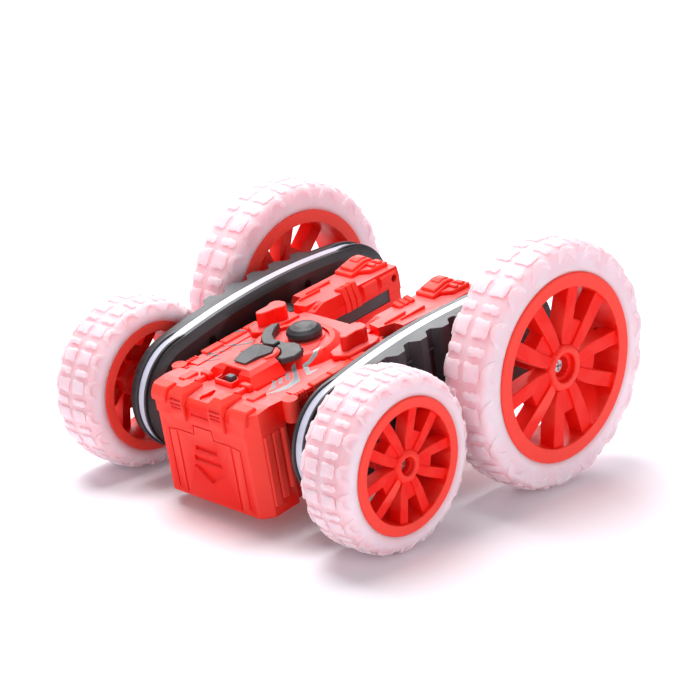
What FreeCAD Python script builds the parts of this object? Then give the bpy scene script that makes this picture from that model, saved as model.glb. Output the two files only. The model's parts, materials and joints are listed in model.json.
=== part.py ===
"""RC stunt car: a hollow centre body between two swinging arms, with two geared wheels on each arm.

+X is the car's left, -Y its front and +Z up, with the origin on the ground under the middle.
The body and the arms are drawn in a level frame, x across, u rearwards and w upwards from the
point midway between the axles, and then tilted nose down, because the rear tyres are larger.
"""
import FreeCAD, Part
import math
import os
import re
import Sketcher

Vector = FreeCAD.Vector
Rotation = FreeCAD.Rotation

DIMENSIONS = {
    # stance
    "wheel_base": 95.0,
    "axle_mid_y": -8.0,
    "front_tyre_radius": 38.0,
    "rear_tyre_radius": 54.0,
    "skin": 1.8,
    "gap": 0.15,
    "run_gap": 0.05,
    # centre body
    "nose_u": -77.0,
    "nose_half": 31.0,
    "nose_back": -58.0,
    "nose_corner": 4.8,
    "belly_w": -27.5,
    "parting_w": 10.5,
    "tub_half": 27.3,
    "deck_w": 19.6,
    "brow_w": 21.2,
    "sill_half": 34.3,
    "sill_w": 21.0,
    "tail_u": 59.5,
    "pod_centre": 24.5,
    "pod_half": 10.5,
    "pod_w": 24.0,
    "pod_floor": -16.0,
    "fork_u": 7.0,
    "panel_half": 21.5,
    "hood_half": 14.6,
    "hood_w": 26.9,
    "hood_tail_u": -40.2,
    "hood_tail_radius": 8.8,
    "cockpit_u": -19.5,
    "cockpit_radius": 17.2,
    "cockpit_w": 23.4,
    "helmet_u": -13.4,
    "cheek_w": 28.8,
    "slot_low": 7.5,
    "slot_high": 13.5,
    "slot_front": 13.5,
    "slot_back": 52.0,
    "cell_radius": 7.0,
    "cell_length": 50.0,
    "cell_u": -67.6,
    "board_w": 13.6,
    # swinging arms
    "pivot_u": 6.0,
    "arm_end_u": 50.0,
    "arm_end_radius": 25.0,
    "arm_flank_radius": 330.0,
    "arm_inside": 40.9,
    "strip_inside": 45.5,
    "strip_outside": 50.0,
    "strip_thick": 1.7,
    "cover_root": 54.7,
    "cover_crest": 58.6,
    "cover_floor": 52.7,
    "rib_high": 1.0,
    "tooth_pitch": 13.5,
    "tooth_crest": 4.2,
    "tooth_ramp": 3.2,
    "first_tooth_u": -15.0,
    "drum_radius": 19.6,
    "drum_inside": 28.2,
    "stub_radius": 9.5,
    "stub_inside": 22.0,
    "motor_radius": 7.6,
    "motor_inside": 24.4,
    # gears
    "gear_module": 0.6,
    "pinion_low": 45.3,
    "pinion_high": 47.8,
    "train_low": 48.1,
    "train_high": 50.6,
    "pin_radius": 1.0,
    "axle_radius": 2.0,
    # wheels, measured inwards from the outer face
    "front_rim_outside": 88.5,
    "front_rim_width": 26.9,
    "front_lip_radius": 28.6,
    "front_opening": 24.0,
    "front_hub_radius": 7.5,
    "front_bore_radius": 3.9,
    "rear_rim_outside": 89.5,
    "rear_rim_width": 23.9,
    "rear_lip_radius": 40.9,
    "rear_opening": 34.7,
    "rear_hub_radius": 10.6,
    "rear_bore_radius": 6.4,
    "hub_inside": 57.0,
    "bore_depth": 6.5,
    "vent_radius": 2.4,
}

PINION_TEETH = 8
REDUCTION_TEETH = 36
SMALL_TEETH = 10
FRONT_IDLER_TEETH = 45
REAR_IDLER_TEETH = 17
FRONT_WHEEL_TEETH = 38
REAR_WHEEL_TEETH = 54
SPOKE_GROUPS = 5
SPOKE_PHASE = -26.0
VENT_ANGLE = -82.0
VENT_HEIGHT = -11.5
TOOTH_COUNT = 5

doc = FreeCAD.newDocument("StuntCar")
sub_parts = []


class Size:
    """A number that keeps the spreadsheet expression it is worked out from."""

    def __init__(self, value, text=None):
        self.value = float(value)
        self.text = text or f"{float(value):.6f}"

    @staticmethod
    def of(item):
        return item if isinstance(item, Size) else Size(item)

    def __add__(self, other):
        other = Size.of(other)
        return Size(self.value + other.value, f"({self.text} + {other.text})")

    def __sub__(self, other):
        other = Size.of(other)
        return Size(self.value - other.value, f"({self.text} - {other.text})")

    def __mul__(self, other):
        other = Size.of(other)
        return Size(self.value * other.value, f"({self.text} * {other.text})")

    def __radd__(self, other):
        return Size.of(other) + self

    def __rsub__(self, other):
        return Size.of(other) - self

    def __rmul__(self, other):
        return Size.of(other) * self

    def __neg__(self):
        return Size(0) - self


class Sheet:
    """The driving dimensions in a spreadsheet; each attribute is a Size bound to its cell."""

    def __init__(self, values):
        cells = doc.addObject("Spreadsheet::Sheet", "Dims")
        for row, (name, value) in enumerate(values.items(), start=1):
            cells.set(f"A{row}", name)
            cells.set(f"B{row}", str(value))
            cells.setAlias(f"B{row}", name)
            setattr(self, name, Size(value, f"Dims.{name}"))
        doc.recompute()


dim = Sheet(DIMENSIONS)


def number(size):
    """Plain value of a Size or a number."""
    return Size.of(size).value


def bind(item, prop, size):
    """Ties a property to the sheet, or sets it where it depends on no cell."""
    item.setExpression(prop, Size.of(size).text)


def free_name(name):
    """Internal object name: the label with any run of odd characters joined up."""
    return re.sub(r"\W+", "_", name)


# ---------------------------------------------------------------- drawing helpers


def start_sketch(body, name, role, height):
    """Sketch on one of the body's own planes, lifted by height along the plane's normal."""
    plane = next(item for item in body.Origin.OriginFeatures if item.Role == role)
    sketch = body.newObject("Sketcher::SketchObject", free_name(name))
    sketch.AttachmentSupport = [(plane, "")]
    sketch.MapMode = "FlatFace"
    bind(sketch, "AttachmentOffset.Base.z", height)
    return sketch


def hold(sketch, kind, edge, point, size):
    """Holds a sketch point at a distance from the sketch origin."""
    size = Size.of(size)
    index = sketch.addConstraint(Sketcher.Constraint(kind, -1, 1, edge, point, size.value))
    if "Dims" in size.text:
        sketch.setExpression(f"Constraints[{index}]", size.text)


def draw_outline(sketch, corners):
    """Closed straight-sided outline with each corner held in place."""
    first = sketch.GeometryCount
    count = len(corners)
    points = [Vector(number(a), number(b), 0) for a, b in corners]
    for i in range(count):
        sketch.addGeometry(Part.LineSegment(points[i], points[(i + 1) % count]), False)
    for i in range(count):
        follower = first + (i + 1) % count
        sketch.addConstraint(Sketcher.Constraint("Coincident", first + i, 2, follower, 1))
    for i, (a, b) in enumerate(corners):
        hold(sketch, "DistanceX", first + i, 1, a)
        hold(sketch, "DistanceY", first + i, 1, b)


def draw_arm_outline(sketch, inset):
    """Long oval of two end arcs and two flatter flank arcs, all tangent, moved in by inset."""
    first = sketch.GeometryCount
    pull = number(inset)
    middle = number(dim.pivot_u)
    reach = number(dim.arm_end_u)
    end_radius = number(dim.arm_end_radius)
    flank_radius = number(dim.arm_flank_radius)
    drop = math.sqrt((flank_radius - end_radius) ** 2 - reach ** 2)
    lean = math.atan2(drop, reach)
    turn = 2 * math.pi
    arcs = (
        (middle - reach, 0, end_radius, math.pi - lean, math.pi + lean),
        (middle, drop, flank_radius, math.pi + lean, turn - lean),
        (middle + reach, 0, end_radius, turn - lean, turn + lean),
        (middle, -drop, flank_radius, lean, math.pi - lean),
    )
    for u, w, radius, start, end in arcs:
        circle = Part.Circle(Vector(u, w, 0), Vector(0, 0, 1), radius - pull)
        sketch.addGeometry(Part.ArcOfCircle(circle, start, end), False)
    for i in range(4):
        follower = first + (i + 1) % 4
        sketch.addConstraint(Sketcher.Constraint("Tangent", first + i, 2, follower, 1))
    for i, radius in enumerate((dim.arm_end_radius, dim.arm_flank_radius) * 2):
        wanted = radius - inset
        index = sketch.addConstraint(Sketcher.Constraint("Radius", first + i, wanted.value))
        sketch.setExpression(f"Constraints[{index}]", wanted.text)
    for i, side in ((0, -1), (2, 1)):
        hold(sketch, "DistanceX", first + i, 3, dim.pivot_u + side * dim.arm_end_u)
        sketch.addConstraint(Sketcher.Constraint("PointOnObject", first + i, 3, -1))


def pad(body, sketch, length):
    """Pads a sketch by length."""
    grown = body.newObject("PartDesign::Pad", free_name(sketch.Name + "_pad"))
    grown.Profile = sketch
    bind(grown, "Length", length)
    doc.recompute()
    return grown


def soften(body, base, size, pick=None):
    """Rounds the picked edges of a feature, or bevels all of them where none are picked."""
    kind, prop = ("Fillet", "Radius") if pick else ("Chamfer", "Size")
    names = [
        f"Edge{i}" for i, edge in enumerate(base.Shape.Edges, start=1) if pick is None or pick(edge)
    ]
    softened = body.newObject("PartDesign::" + kind, free_name(base.Name + "_soft"))
    softened.Base = (base, names)
    bind(softened, prop, size)
    doc.recompute()
    body.Tip = softened
    return softened


def prism(name, plane, outline, low, high, radius=None, pick=None):
    """Solid of one outline: (u, w) points along x, (x, w) along u or (x, u) along w."""
    body = doc.addObject("PartDesign::Body", free_name(name))
    low, high = Size.of(low), Size.of(high)
    height = -high if plane == "XZ" else low
    sketch = start_sketch(body, name + "_outline", plane + "_Plane", height)
    draw_outline(sketch, outline)
    grown = pad(body, sketch, high - low)
    if radius:
        soften(body, grown, radius, pick)
    return body


def block(name, x, u, w, radius=None):
    """Rectangular solid from low and high pairs, with its edges rounded if asked."""
    if radius:
        outline = [(x[0], u[0]), (x[1], u[0]), (x[1], u[1]), (x[0], u[1])]
        return prism(name, "XY", outline, w[0], w[1], radius)
    box = doc.addObject("Part::Box", free_name(name))
    for prop, axis, (low, high) in (("Length", "x", x), ("Width", "y", u), ("Height", "z", w)):
        bind(box, prop, Size.of(high) - low)
        bind(box, f"Placement.Base.{axis}", low)
    return box


def rod(name, axis, centre, radius, low, high):
    """Cylinder along an axis; centre holds the other two coordinates in x, u, w order."""
    turns = {
        "x": (Rotation(Vector(0, 1, 0), 90), ("y", "z"), "x"),
        "u": (Rotation(Vector(1, 0, 0), -90), ("x", "z"), "y"),
        "w": (Rotation(), ("x", "y"), "z"),
    }
    turn, across, along = turns[axis]
    cylinder = doc.addObject("Part::Cylinder", free_name(name))
    cylinder.Placement = FreeCAD.Placement(Vector(), turn)
    bind(cylinder, "Radius", radius)
    bind(cylinder, "Height", Size.of(high) - low)
    bind(cylinder, f"Placement.Base.{along}", low)
    for letter, size in zip(across, centre):
        bind(cylinder, f"Placement.Base.{letter}", size)
    return cylinder


def fuse(name, pieces):
    """One solid from several that touch or overlap, or a group of separate ones."""
    joined = doc.addObject("Part::MultiFuse", free_name(name))
    joined.Shapes = pieces
    joined.Refine = False
    return joined


def cut(name, base, tools):
    """Base less the tools."""
    result = doc.addObject("Part::Cut", free_name(name))
    result.Base = base
    result.Tool = tools[0] if len(tools) == 1 else fuse(name + "_tools", tools)
    result.Refine = False
    return result


def common(name, pieces):
    """What all the pieces share."""
    result = doc.addObject("Part::MultiCommon", free_name(name))
    result.Shapes = pieces
    result.Refine = False
    return result


def mirror(name, source):
    """Copy reflected across the car's middle plane."""
    copy = doc.addObject("Part::Mirroring", free_name(name))
    copy.Source = source
    copy.Base = Vector(0, 0, 0)
    copy.Normal = Vector(1, 0, 0)
    return copy


def both_sides(name, piece):
    """The piece and its mirror image."""
    return [piece, mirror(name + "_mirrored", piece)]


def finish(item, label, placement=None):
    """Registers a sub-part under its label, in its place."""
    item.Label = label
    if placement:
        item.Placement = placement
    sub_parts.append(item)
    return item


# ---------------------------------------------------------------- frames

rise = DIMENSIONS["rear_tyre_radius"] - DIMENSIONS["front_tyre_radius"]
mid_height = (DIMENSIONS["rear_tyre_radius"] + DIMENSIONS["front_tyre_radius"]) / 2
tilt_degrees = math.degrees(math.atan2(rise, DIMENSIONS["wheel_base"]))
axle_reach = math.hypot(rise, DIMENSIONS["wheel_base"]) / 2
tilt_turn = Rotation(Vector(1, 0, 0), tilt_degrees)
LEVEL = FreeCAD.Placement(Vector(0, DIMENSIONS["axle_mid_y"], mid_height), tilt_turn)


def finish_pair(item, label):
    """Registers a left arm piece and its mirror image on the right."""
    left = finish(item, "left_" + label, LEVEL)
    finish(mirror("right_" + label, left), "right_" + label)


# ---------------------------------------------------------------- centre body


def nose_outline(inset):
    """Plan of the nose box with its two front corners cut off."""
    front = dim.nose_u + inset
    side = dim.nose_half - inset
    back = dim.nose_back
    corner = dim.nose_corner
    return [
        (-side, back),
        (-side, front + corner),
        (corner - side, front),
        (side - corner, front),
        (side, front + corner),
        (side, back),
    ]


def hub_clearance(name):
    """Round pockets that the arms' drums turn in, one on each side."""
    drum = rod(name, "x", (dim.pivot_u, 0), dim.drum_radius + 0.5, dim.tub_half, 45)
    return both_sides(name, drum)


def slot_cutters(name):
    """Long recesses in the fork's two inner walls."""
    wall = dim.pod_centre - dim.pod_half
    slot = block(
        name,
        (wall - 1, wall + 0.9),
        (dim.slot_front, dim.slot_back),
        (dim.slot_low, dim.slot_high),
    )
    return both_sides(name, slot)


CASE_SCREWS = ((20, -46), (-20, -46), (24.5, 46), (-24.5, 46))
DOOR_SCREW = (0, -52)


def belly_at(u):
    """Height of the underside at u: level under the nose, then rising to the tail."""
    if u < -45:
        return number(dim.belly_w)
    if u > 26:
        return number(dim.pod_floor)
    return number(dim.belly_w) + (u + 45) / 71 * (number(dim.pod_floor) - number(dim.belly_w))


def build_lower_shell():
    """Nose box, tub and the lower halves of the two tail pods, hollow, with the battery hatch."""
    floor, part_line = dim.belly_w, dim.parting_w
    nose = prism("lower_nose", "XY", nose_outline(0), floor, part_line, 0.9, lower_edges(floor))
    tub_side = [
        (dim.nose_back - 2, floor),
        (-45, floor),
        (26, dim.pod_floor),
        (26, part_line),
        (dim.nose_back - 2, part_line),
    ]
    tub = prism("lower_tub", "YZ", tub_side, -dim.tub_half, dim.tub_half)
    inner, outer = dim.pod_centre - dim.pod_half, dim.pod_centre + dim.pod_half
    pod = prism(
        "lower_pod",
        "YZ",
        [(19, dim.pod_floor), (dim.tail_u - 1, dim.pod_floor), (dim.tail_u, part_line), (19, part_line)],
        inner,
        outer,
        0.9,
        lower_edges(dim.pod_floor),
    )
    pods = both_sides("lower_pod", pod)
    flutes = []
    for step, (low, high) in enumerate(((-71.6, -67.4), (-66.8, -63.0))):
        rib = block(
            f"nose_flute_{step}",
            (dim.nose_half - 1, dim.nose_half + 0.7),
            (low, high),
            (-23 + 2 * step, part_line - 1.0),
            0.6,
        )
        flutes += both_sides(f"nose_flute_{step}", rib)
    pillar = rod("side_pillar", "w", (dim.nose_half - 0.4, -60.4), 1.6, -18, part_line - 1.0)
    flutes += both_sides("side_pillar", pillar)
    tab = block("side_tab", (dim.tub_half - 1, 32), (-57.5, -53.5), (-16, -14.4), 0.4)
    tabs = both_sides("side_tab", tab)
    posts = [
        rod(f"screw_post_{i}", "w", (x, u), 3.4, belly_at(u) + 0.5, part_line)
        for i, (x, u) in enumerate(CASE_SCREWS)
    ]
    wall, skin = dim.tub_half, dim.skin
    ring = rod("pivot_ring", "x", (dim.pivot_u, 0), 13, dim.tub_half - 3, dim.tub_half)
    rings = both_sides("pivot_ring", ring)
    fork = block("fork_gap", (-inner, inner), (dim.fork_u, 70), (-40, 40))

    room = prism("nose_room", "XY", nose_outline(skin), floor + skin, part_line + 1)
    tub_room = prism(
        "tub_room",
        "YZ",
        [
            (dim.nose_back - 4, floor + skin),
            (-45, floor + skin),
            (dim.fork_u - skin, -18.5),
            (dim.fork_u - skin, part_line + 1),
            (dim.nose_back - 4, part_line + 1),
        ],
        skin - wall,
        wall - skin,
    )
    side_room = block(
        "side_room",
        (inner + skin, wall - skin),
        (dim.fork_u - 4, 28),
        (dim.pod_floor + skin, part_line + 1),
    )
    pod_room = block(
        "pod_room",
        (inner + skin, outer - skin),
        (28, dim.tail_u - skin),
        (dim.pod_floor + skin, part_line + 1),
    )
    rooms = both_sides("side_room", side_room) + both_sides("pod_room", pod_room)
    hull = fuse("lower_hull", [nose, tub] + pods)
    hollow = cut("lower_hollow", hull, [room, tub_room, fork] + rooms)
    dressed = fuse("lower_dressed", [hollow] + flutes + tabs + posts + rings)

    stub = rod("stub_bore", "x", (dim.pivot_u, 0), dim.stub_radius + dim.run_gap, 20, 30)
    hatch = prism("hatch_opening", "XY", door_outline(dim.gap), floor - 1, floor + skin + 0.2)
    wells = []
    for i, (x, u) in enumerate(CASE_SCREWS):
        low = belly_at(u)
        wells.append(rod(f"screw_well_{i}", "w", (x, u), 2.6, low - 3, low + 3.5))
        wells.append(rod(f"screw_hole_{i}", "w", (x, u), 1.15, low, part_line + 1))
    above = block("above_parting", (-40, 40), (-90, 70), (part_line, 30))
    cutters = hub_clearance("lower_drum_room") + slot_cutters("lower_slot") + [above]
    shell = cut(
        "lower_cut",
        dressed,
        both_sides("stub_bore", stub) + [hatch] + wells + cutters + front_panel_lines(),
    )
    finish(shell, "lower_shell", LEVEL)


def lower_edges(level):
    """Picks the edges that lie in the plane at a level, and the upright ones."""
    height = number(level)

    def pick(edge):
        ends = [vertex.Point.z for vertex in edge.Vertexes]
        flat = all(abs(z - height) < 0.01 for z in ends)
        upright = abs(ends[0] - ends[-1]) > 8
        return flat or upright

    return pick


def groove(name, start, end, width=0.7, depth=0.5):
    """Thin straight groove in the nose's front face between two (x, w) points."""
    (xa, wa), (xb, wb) = start, end
    reach = math.hypot(xb - xa, wb - wa)
    across = ((wa - wb) / reach * width / 2, (xb - xa) / reach * width / 2)
    along = ((xb - xa) / reach * width / 2, (wb - wa) / reach * width / 2)
    corners = [
        (xa - along[0] + across[0], wa - along[1] + across[1]),
        (xa - along[0] - across[0], wa - along[1] - across[1]),
        (xb + along[0] - across[0], wb + along[1] - across[1]),
        (xb + along[0] + across[0], wb + along[1] + across[1]),
    ]
    return prism(name, "XZ", corners, dim.nose_u - 2, dim.nose_u + depth)


def front_panel_lines():
    """Outline of the front panel and its plain chevron mark, cut into the nose."""
    edge = number(dim.panel_half)
    route = [
        (-edge, -24),
        (-edge, 3.4),
        (-15, 4.2),
        (-6, 4.2),
        (-5.4, 8.4),
        (5.4, 8.4),
        (6, 4.2),
        (15, 4.2),
        (edge, 3.4),
        (edge, -24),
    ]
    lines = [
        groove(f"panel_line_{i}", route[i], route[i + 1], 0.6, 0.45) for i in range(len(route) - 1)
    ]
    for side in (-1, 1):
        crease = side * 16.4
        lines.append(groove(f"panel_crease_{side + 1}", (crease, 3.2), (crease, -25), 1.3, 0.35))
    marks = (
        [(-6.4, -0.8), (-6.4, -3.2), (6.4, -3.2), (6.4, -0.8)],
        [(-8.2, -5.8), (-8.2, -8.4), (8.2, -8.4), (8.2, -5.8)],
        [(-9.4, -10.6), (-9.4, -11.4), (0, -17.8), (9.4, -11.4), (9.4, -10.6)],
    )
    for i, corners in enumerate(marks):
        mark = prism(f"chevron_mark_{i}", "XZ", corners, dim.nose_u - 2, dim.nose_u + 1.1)
        lines.append(mark)
    return lines


def door_outline(gap):
    """Plan of the battery door: a wide plate with a screw tongue behind it."""
    wide, tongue = 26.4 + gap, 6.0 + gap
    front, waist, back = -73.6 - gap, -60.4 + gap, -48.0 + gap
    return [
        (-wide, front),
        (wide, front),
        (wide, waist),
        (tongue, waist),
        (tongue, back),
        (-tongue, back),
        (-tongue, waist),
        (-wide, waist),
    ]


def build_battery_door():
    """Plate that closes the battery bay from below, with finger ribs and a screw hole."""
    floor = dim.belly_w
    plate = prism("door_plate", "XY", door_outline(0), floor, floor + dim.skin)
    x, u = DOOR_SCREW
    hole = rod("door_hole", "w", (x, u), 1.15, floor - 1, floor + 3)
    well = rod("door_well", "w", (x, u), 2.6, floor - 1, floor + 0.9)
    ribs = [
        block(f"door_rib_{i}", (-9, 9), (-70.5 + 2 * i, -69.6 + 2 * i), (floor - 1, floor + 0.5))
        for i in range(4)
    ]
    finish(cut("door_cut", plate, [hole, well] + ribs), "battery_door", LEVEL)


def build_case_screws():
    """Case screws and the door screw, pan heads downwards."""
    screws = []
    for i, (x, u) in enumerate(CASE_SCREWS + (DOOR_SCREW,)):
        low = belly_at(u) + (3.5 if (x, u) != DOOR_SCREW else 0.9)
        long = 9 if (x, u) != DOOR_SCREW else 5
        head = rod(f"case_head_{i}", "w", (x, u), 2.3, low - 1.5, low)
        shank = rod(f"case_shank_{i}", "w", (x, u), 1.1, low, low + long)
        deep = (low - 2, low - 0.7)
        slot_a = block(f"case_slot_{i}", (x - 1.5, x + 1.5), (u - 0.25, u + 0.25), deep)
        slot_b = block(f"case_cross_{i}", (x - 0.25, x + 0.25), (u - 1.5, u + 1.5), deep)
        whole = fuse(f"case_screw_blank_{i}", [head, shank])
        screws.append(cut(f"case_screw_{i}", whole, [slot_a, slot_b]))
    finish(fuse("case_screw_set", screws), "case_screws", LEVEL)


def pod_section(grow):
    """Cross-section of a tail pod with its inner shoulder, grown by a margin."""
    centre, half = dim.pod_centre, dim.pod_half
    return [
        (centre - half - grow, dim.parting_w),
        (centre - half - grow, 17.6),
        (centre - half + 1.4, dim.pod_w + grow),
        (centre + half - 2.4, dim.pod_w + grow),
        (centre + half + grow, 20.0),
        (centre + half + grow, dim.parting_w),
    ]


def build_pod_top():
    """Upper half of the left pod: trunk falling to the rear, ridge lines and clamp bands."""
    centre, half = dim.pod_centre, dim.pod_half
    tail = dim.tail_u
    trunk = prism("pod_trunk", "XZ", pod_section(0), 3.5, tail, 0.5, long_edges)
    front_cut = [(8, 2), (46, 2), (46, 12.6), (28.0, 12.6), (25.4, 5.2), (13.9, 7.4), (8, 14)]
    nose_cut = prism("pod_nose_cut", "XY", front_cut, 12.5, 40)
    slope = [(0, 23.9), (39, 22.1), (tail + 2, 21.6), (tail + 2, 40), (0, 40)]
    top_cut = prism("pod_top_cut", "YZ", slope, 8, 46)
    corner_cut = prism("pod_corner_cut", "YZ", [(2, 19.6), (15, 23.6), (15, 30), (2, 30)], 8, 19)
    pieces = [cut("pod_front", trunk, [nose_cut, top_cut, corner_cut])]
    for i in range(3):
        u = 24.8 + 3.4 * i
        section = pod_section(0.75)[:3]
        section += [(centre - 4.6, dim.pod_w - 0.4), (centre - 4.6, dim.parting_w)]
        pieces.append(prism(f"clamp_band_{i}", "XZ", section, u, u + 2.8, 0.3))
    inside, outside = centre - half - 0.5, centre + half + 0.3
    pieces.append(block("pod_inner_block", (inside, centre - 7), (36.5, 45.5), (14.5, 21.2), 0.5))
    pieces.append(block("pod_inner_cap", (inside, centre - 6.5), (47.5, 57.5), (15.5, 20.4), 0.5))
    pieces.append(block("pod_outer_ledge", (centre + 4.5, outside), (24, 57), (17, 21.0), 0.5))
    ridge_lines = ((0.8, 9.0, 22.0, 24.4), (-8.2, 8.6, 13.4, 22.9), (3.6, 16, 31, 23.9))
    for i, (offset, low, high, top) in enumerate(ridge_lines):
        x = centre + offset
        pieces.append(block(f"pod_line_{i}", (x, x + 0.8), (low, high), (top - 1.6, top), 0.2))
    return fuse("pod_top", pieces)


def build_pod_steps(side):
    """Stepped hump on one pod's tail; both pods have it the same way round."""
    middle = dim.pod_centre * side
    tag = "left" if side > 0 else "right"
    low_side = [(39.4, 19), (39.5, 23.6), (49.5, 25.2), (55.5, 24.4), (58.4, 21.4), (58.4, 19)]
    high_side = [(41.6, 19), (41.7, 25.2), (49.5, 26.6), (54.0, 25.8), (56.6, 22.6), (56.6, 19)]
    crest_side = [(46.5, 19), (46.6, 26.6), (49.5, 27.3), (52.5, 26.9), (54.6, 24.6), (54.6, 19)]
    pieces = []
    for name, profile, left, right in (
        ("low", low_side, -9.4, 1.4),
        ("high", high_side, -8.0, 0.2),
        ("crest", crest_side, -6.6, -1.4),
    ):
        span = (middle + left, middle + right)
        pieces.append(prism(f"{tag}_step_{name}", "YZ", profile, *span, 0.45))
    plan = [(1.0, 43.5), (5.6, 47.5), (6.4, 57.8), (1.0, 57.8)]
    shelf_plan = [(middle + x, u) for x, u in plan]
    pieces.append(prism(f"{tag}_step_shelf", "XY", shelf_plan, 19, 23.8, 0.45))
    for i in range(2):
        u = 49.6 + 3.9 * i
        across = (middle + 0.8, middle + 5.2)
        pieces.append(block(f"{tag}_step_lug_{i}", across, (u, u + 2.6), (19, 24.9), 0.45))
    return pieces


def long_edges(edge):
    """Picks edges that run mostly along u."""
    ends = [vertex.Point.y for vertex in edge.Vertexes]
    return abs(ends[0] - ends[-1]) > 8


def build_cheek():
    """Left raised fin beside the cockpit, teardrop in plan, on a low platform."""
    plan = [
        (23.6, -15.6),
        (25.4, -16.6),
        (27.1, -15.0),
        (27.0, -11.5),
        (26.9, -8.4),
        (28.1, -5.6),
        (27.6, -3.2),
        (25.8, -1.9),
        (22.6, -1.6),
        (20.2, -3.2),
        (19.6, -5.4),
        (21.4, -8.6),
        (22.2, -12.6),
    ]
    pick = top_edges(number(dim.cheek_w))
    column = prism("cheek_column", "XY", plan, 17.5, dim.cheek_w, 0.5, pick)
    foot_plan = [(20.4, -19.5), (24.5, -21.5), (30.5, -18), (31.5, -2.5), (29.5, 1.5), (18, 1.5), (18, -8)]
    foot = prism("cheek_foot", "XY", foot_plan, 17.5, 22.2, 0.4)
    return fuse("cheek", [column, foot])


def build_sill():
    """Left row of raised blocks along the deck's outer edge, with the vent and the screw boss."""
    pieces = []
    edge = dim.sill_half
    for i, (low, high) in enumerate(((-43.0, -32.6), (-32.0, -18.8), (-18.2, -10.4))):
        across = (edge - 4.2, edge)
        pieces.append(block(f"sill_block_{i}", across, (low, high), (15.5, dim.sill_w), 0.4))
    pieces.append(block("sill_rail", (edge - 8, edge - 1.2), (-52, 4), (15.5, dim.sill_w - 1.0), 0.4))
    for i in range(5):
        u = -47.5 - 1.5 * i
        across = (edge - 3, edge - 0.6)
        pieces.append(block(f"vent_rib_{i}", across, (u, u + 0.8), (17.0, dim.sill_w - 0.4), 0.15))
    boss = rod("side_boss", "w", (33.4, -56.2), 3.2, 11.0, dim.sill_w - 0.3)
    pieces.append(boss)
    pieces.append(block("boss_web", (29, 33.5), (-58.6, -54.2), (11.0, dim.sill_w - 1.2), 0.4))
    return fuse("sill", pieces)


def build_hood():
    """Centre ridge from the switch to the cockpit: creased sides, a rimmed round tail and the tray."""
    half, crease, top_half = dim.hood_half, 11.0, 8.6
    section = [
        (-half, 18.5),
        (half, 18.5),
        (half, 20.2),
        (crease, 24.9),
        (top_half, 26.2),
        (5, dim.hood_w),
        (-5, dim.hood_w),
        (-top_half, 26.2),
        (-crease, 24.9),
        (-half, 20.2),
    ]
    side = [(-60, 18), (-59.8, 20), (-56.3, 24.8), (-53.8, 26.3), (-46, 26.7), (-39.6, 27.2), (-39.6, 18)]
    ridge = common(
        "hood_ridge",
        [prism("hood_section", "XZ", section, -62, -33), prism("hood_side", "YZ", side, -16, 16)],
    )
    centre = (0, dim.hood_tail_u)
    tail = rod("hood_tail", "w", centre, dim.hood_tail_radius, 18.5, 26.3)
    rim = rod("hood_rim", "w", centre, dim.hood_tail_radius - 0.4, 26, dim.hood_w + 0.2)
    inside = rod("hood_rim_inside", "w", centre, dim.hood_tail_radius - 1.7, 25, 30)
    ahead = block("hood_rim_ahead", (-20, 20), (-60, dim.hood_tail_u - 1), (25, 30))
    arc = cut("hood_rim_arc", rim, [inside, ahead])
    rail = block("hood_rail", (6.6, 7.9), (-43, dim.hood_tail_u + 0.5), (25.5, dim.hood_w + 0.2))
    tray = block("switch_tray", (-5.4, 5.4), (-61.8, -53), (18.5, 23.2), 0.3)
    return fuse("hood", [ridge, tail, arc, tray] + both_sides("hood_rail", rail))


def build_brow():
    """Front deck with its corner guards, pipe rods and their blocks."""
    side = [
        (dim.nose_u - 0.5, dim.parting_w),
        (dim.nose_u - 0.5, 17.2),
        (dim.nose_u + 1.8, 20.2),
        (-66, dim.brow_w),
        (dim.nose_back, dim.brow_w - 0.6),
        (dim.nose_back, dim.parting_w),
    ]
    plan = prism("brow_plan", "XY", nose_outline(-0.4), 8, 30)
    deck = common("brow", [plan, prism("brow_side", "YZ", side, -33, 33)])
    guard_side = [(-77.9, 15.4), (-77.9, 18.6), (-76, 21.9), (-70.6, 22.3), (-69.6, 20.5), (-69.6, 15.4)]
    guard = prism("corner_guard", "YZ", guard_side, 19.4, 28.4, 0.5)
    pipe = rod("deck_pipe", "u", (12, 21.3), 1.7, -65.7, -57.5)
    collar = block("pipe_collar", (9.2, 14.8), (-61.2, -58.0), (19.5, 23.8), 0.6)
    foot = block("pipe_foot", (18.2, 22.6), (-66.5, -58.6), (19.5, 22.0), 0.4)
    pieces = [deck]
    for piece in (guard, pipe, collar, foot):
        pieces += both_sides(piece.Name, piece)
    return fuse("brow_dressed", pieces)


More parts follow.
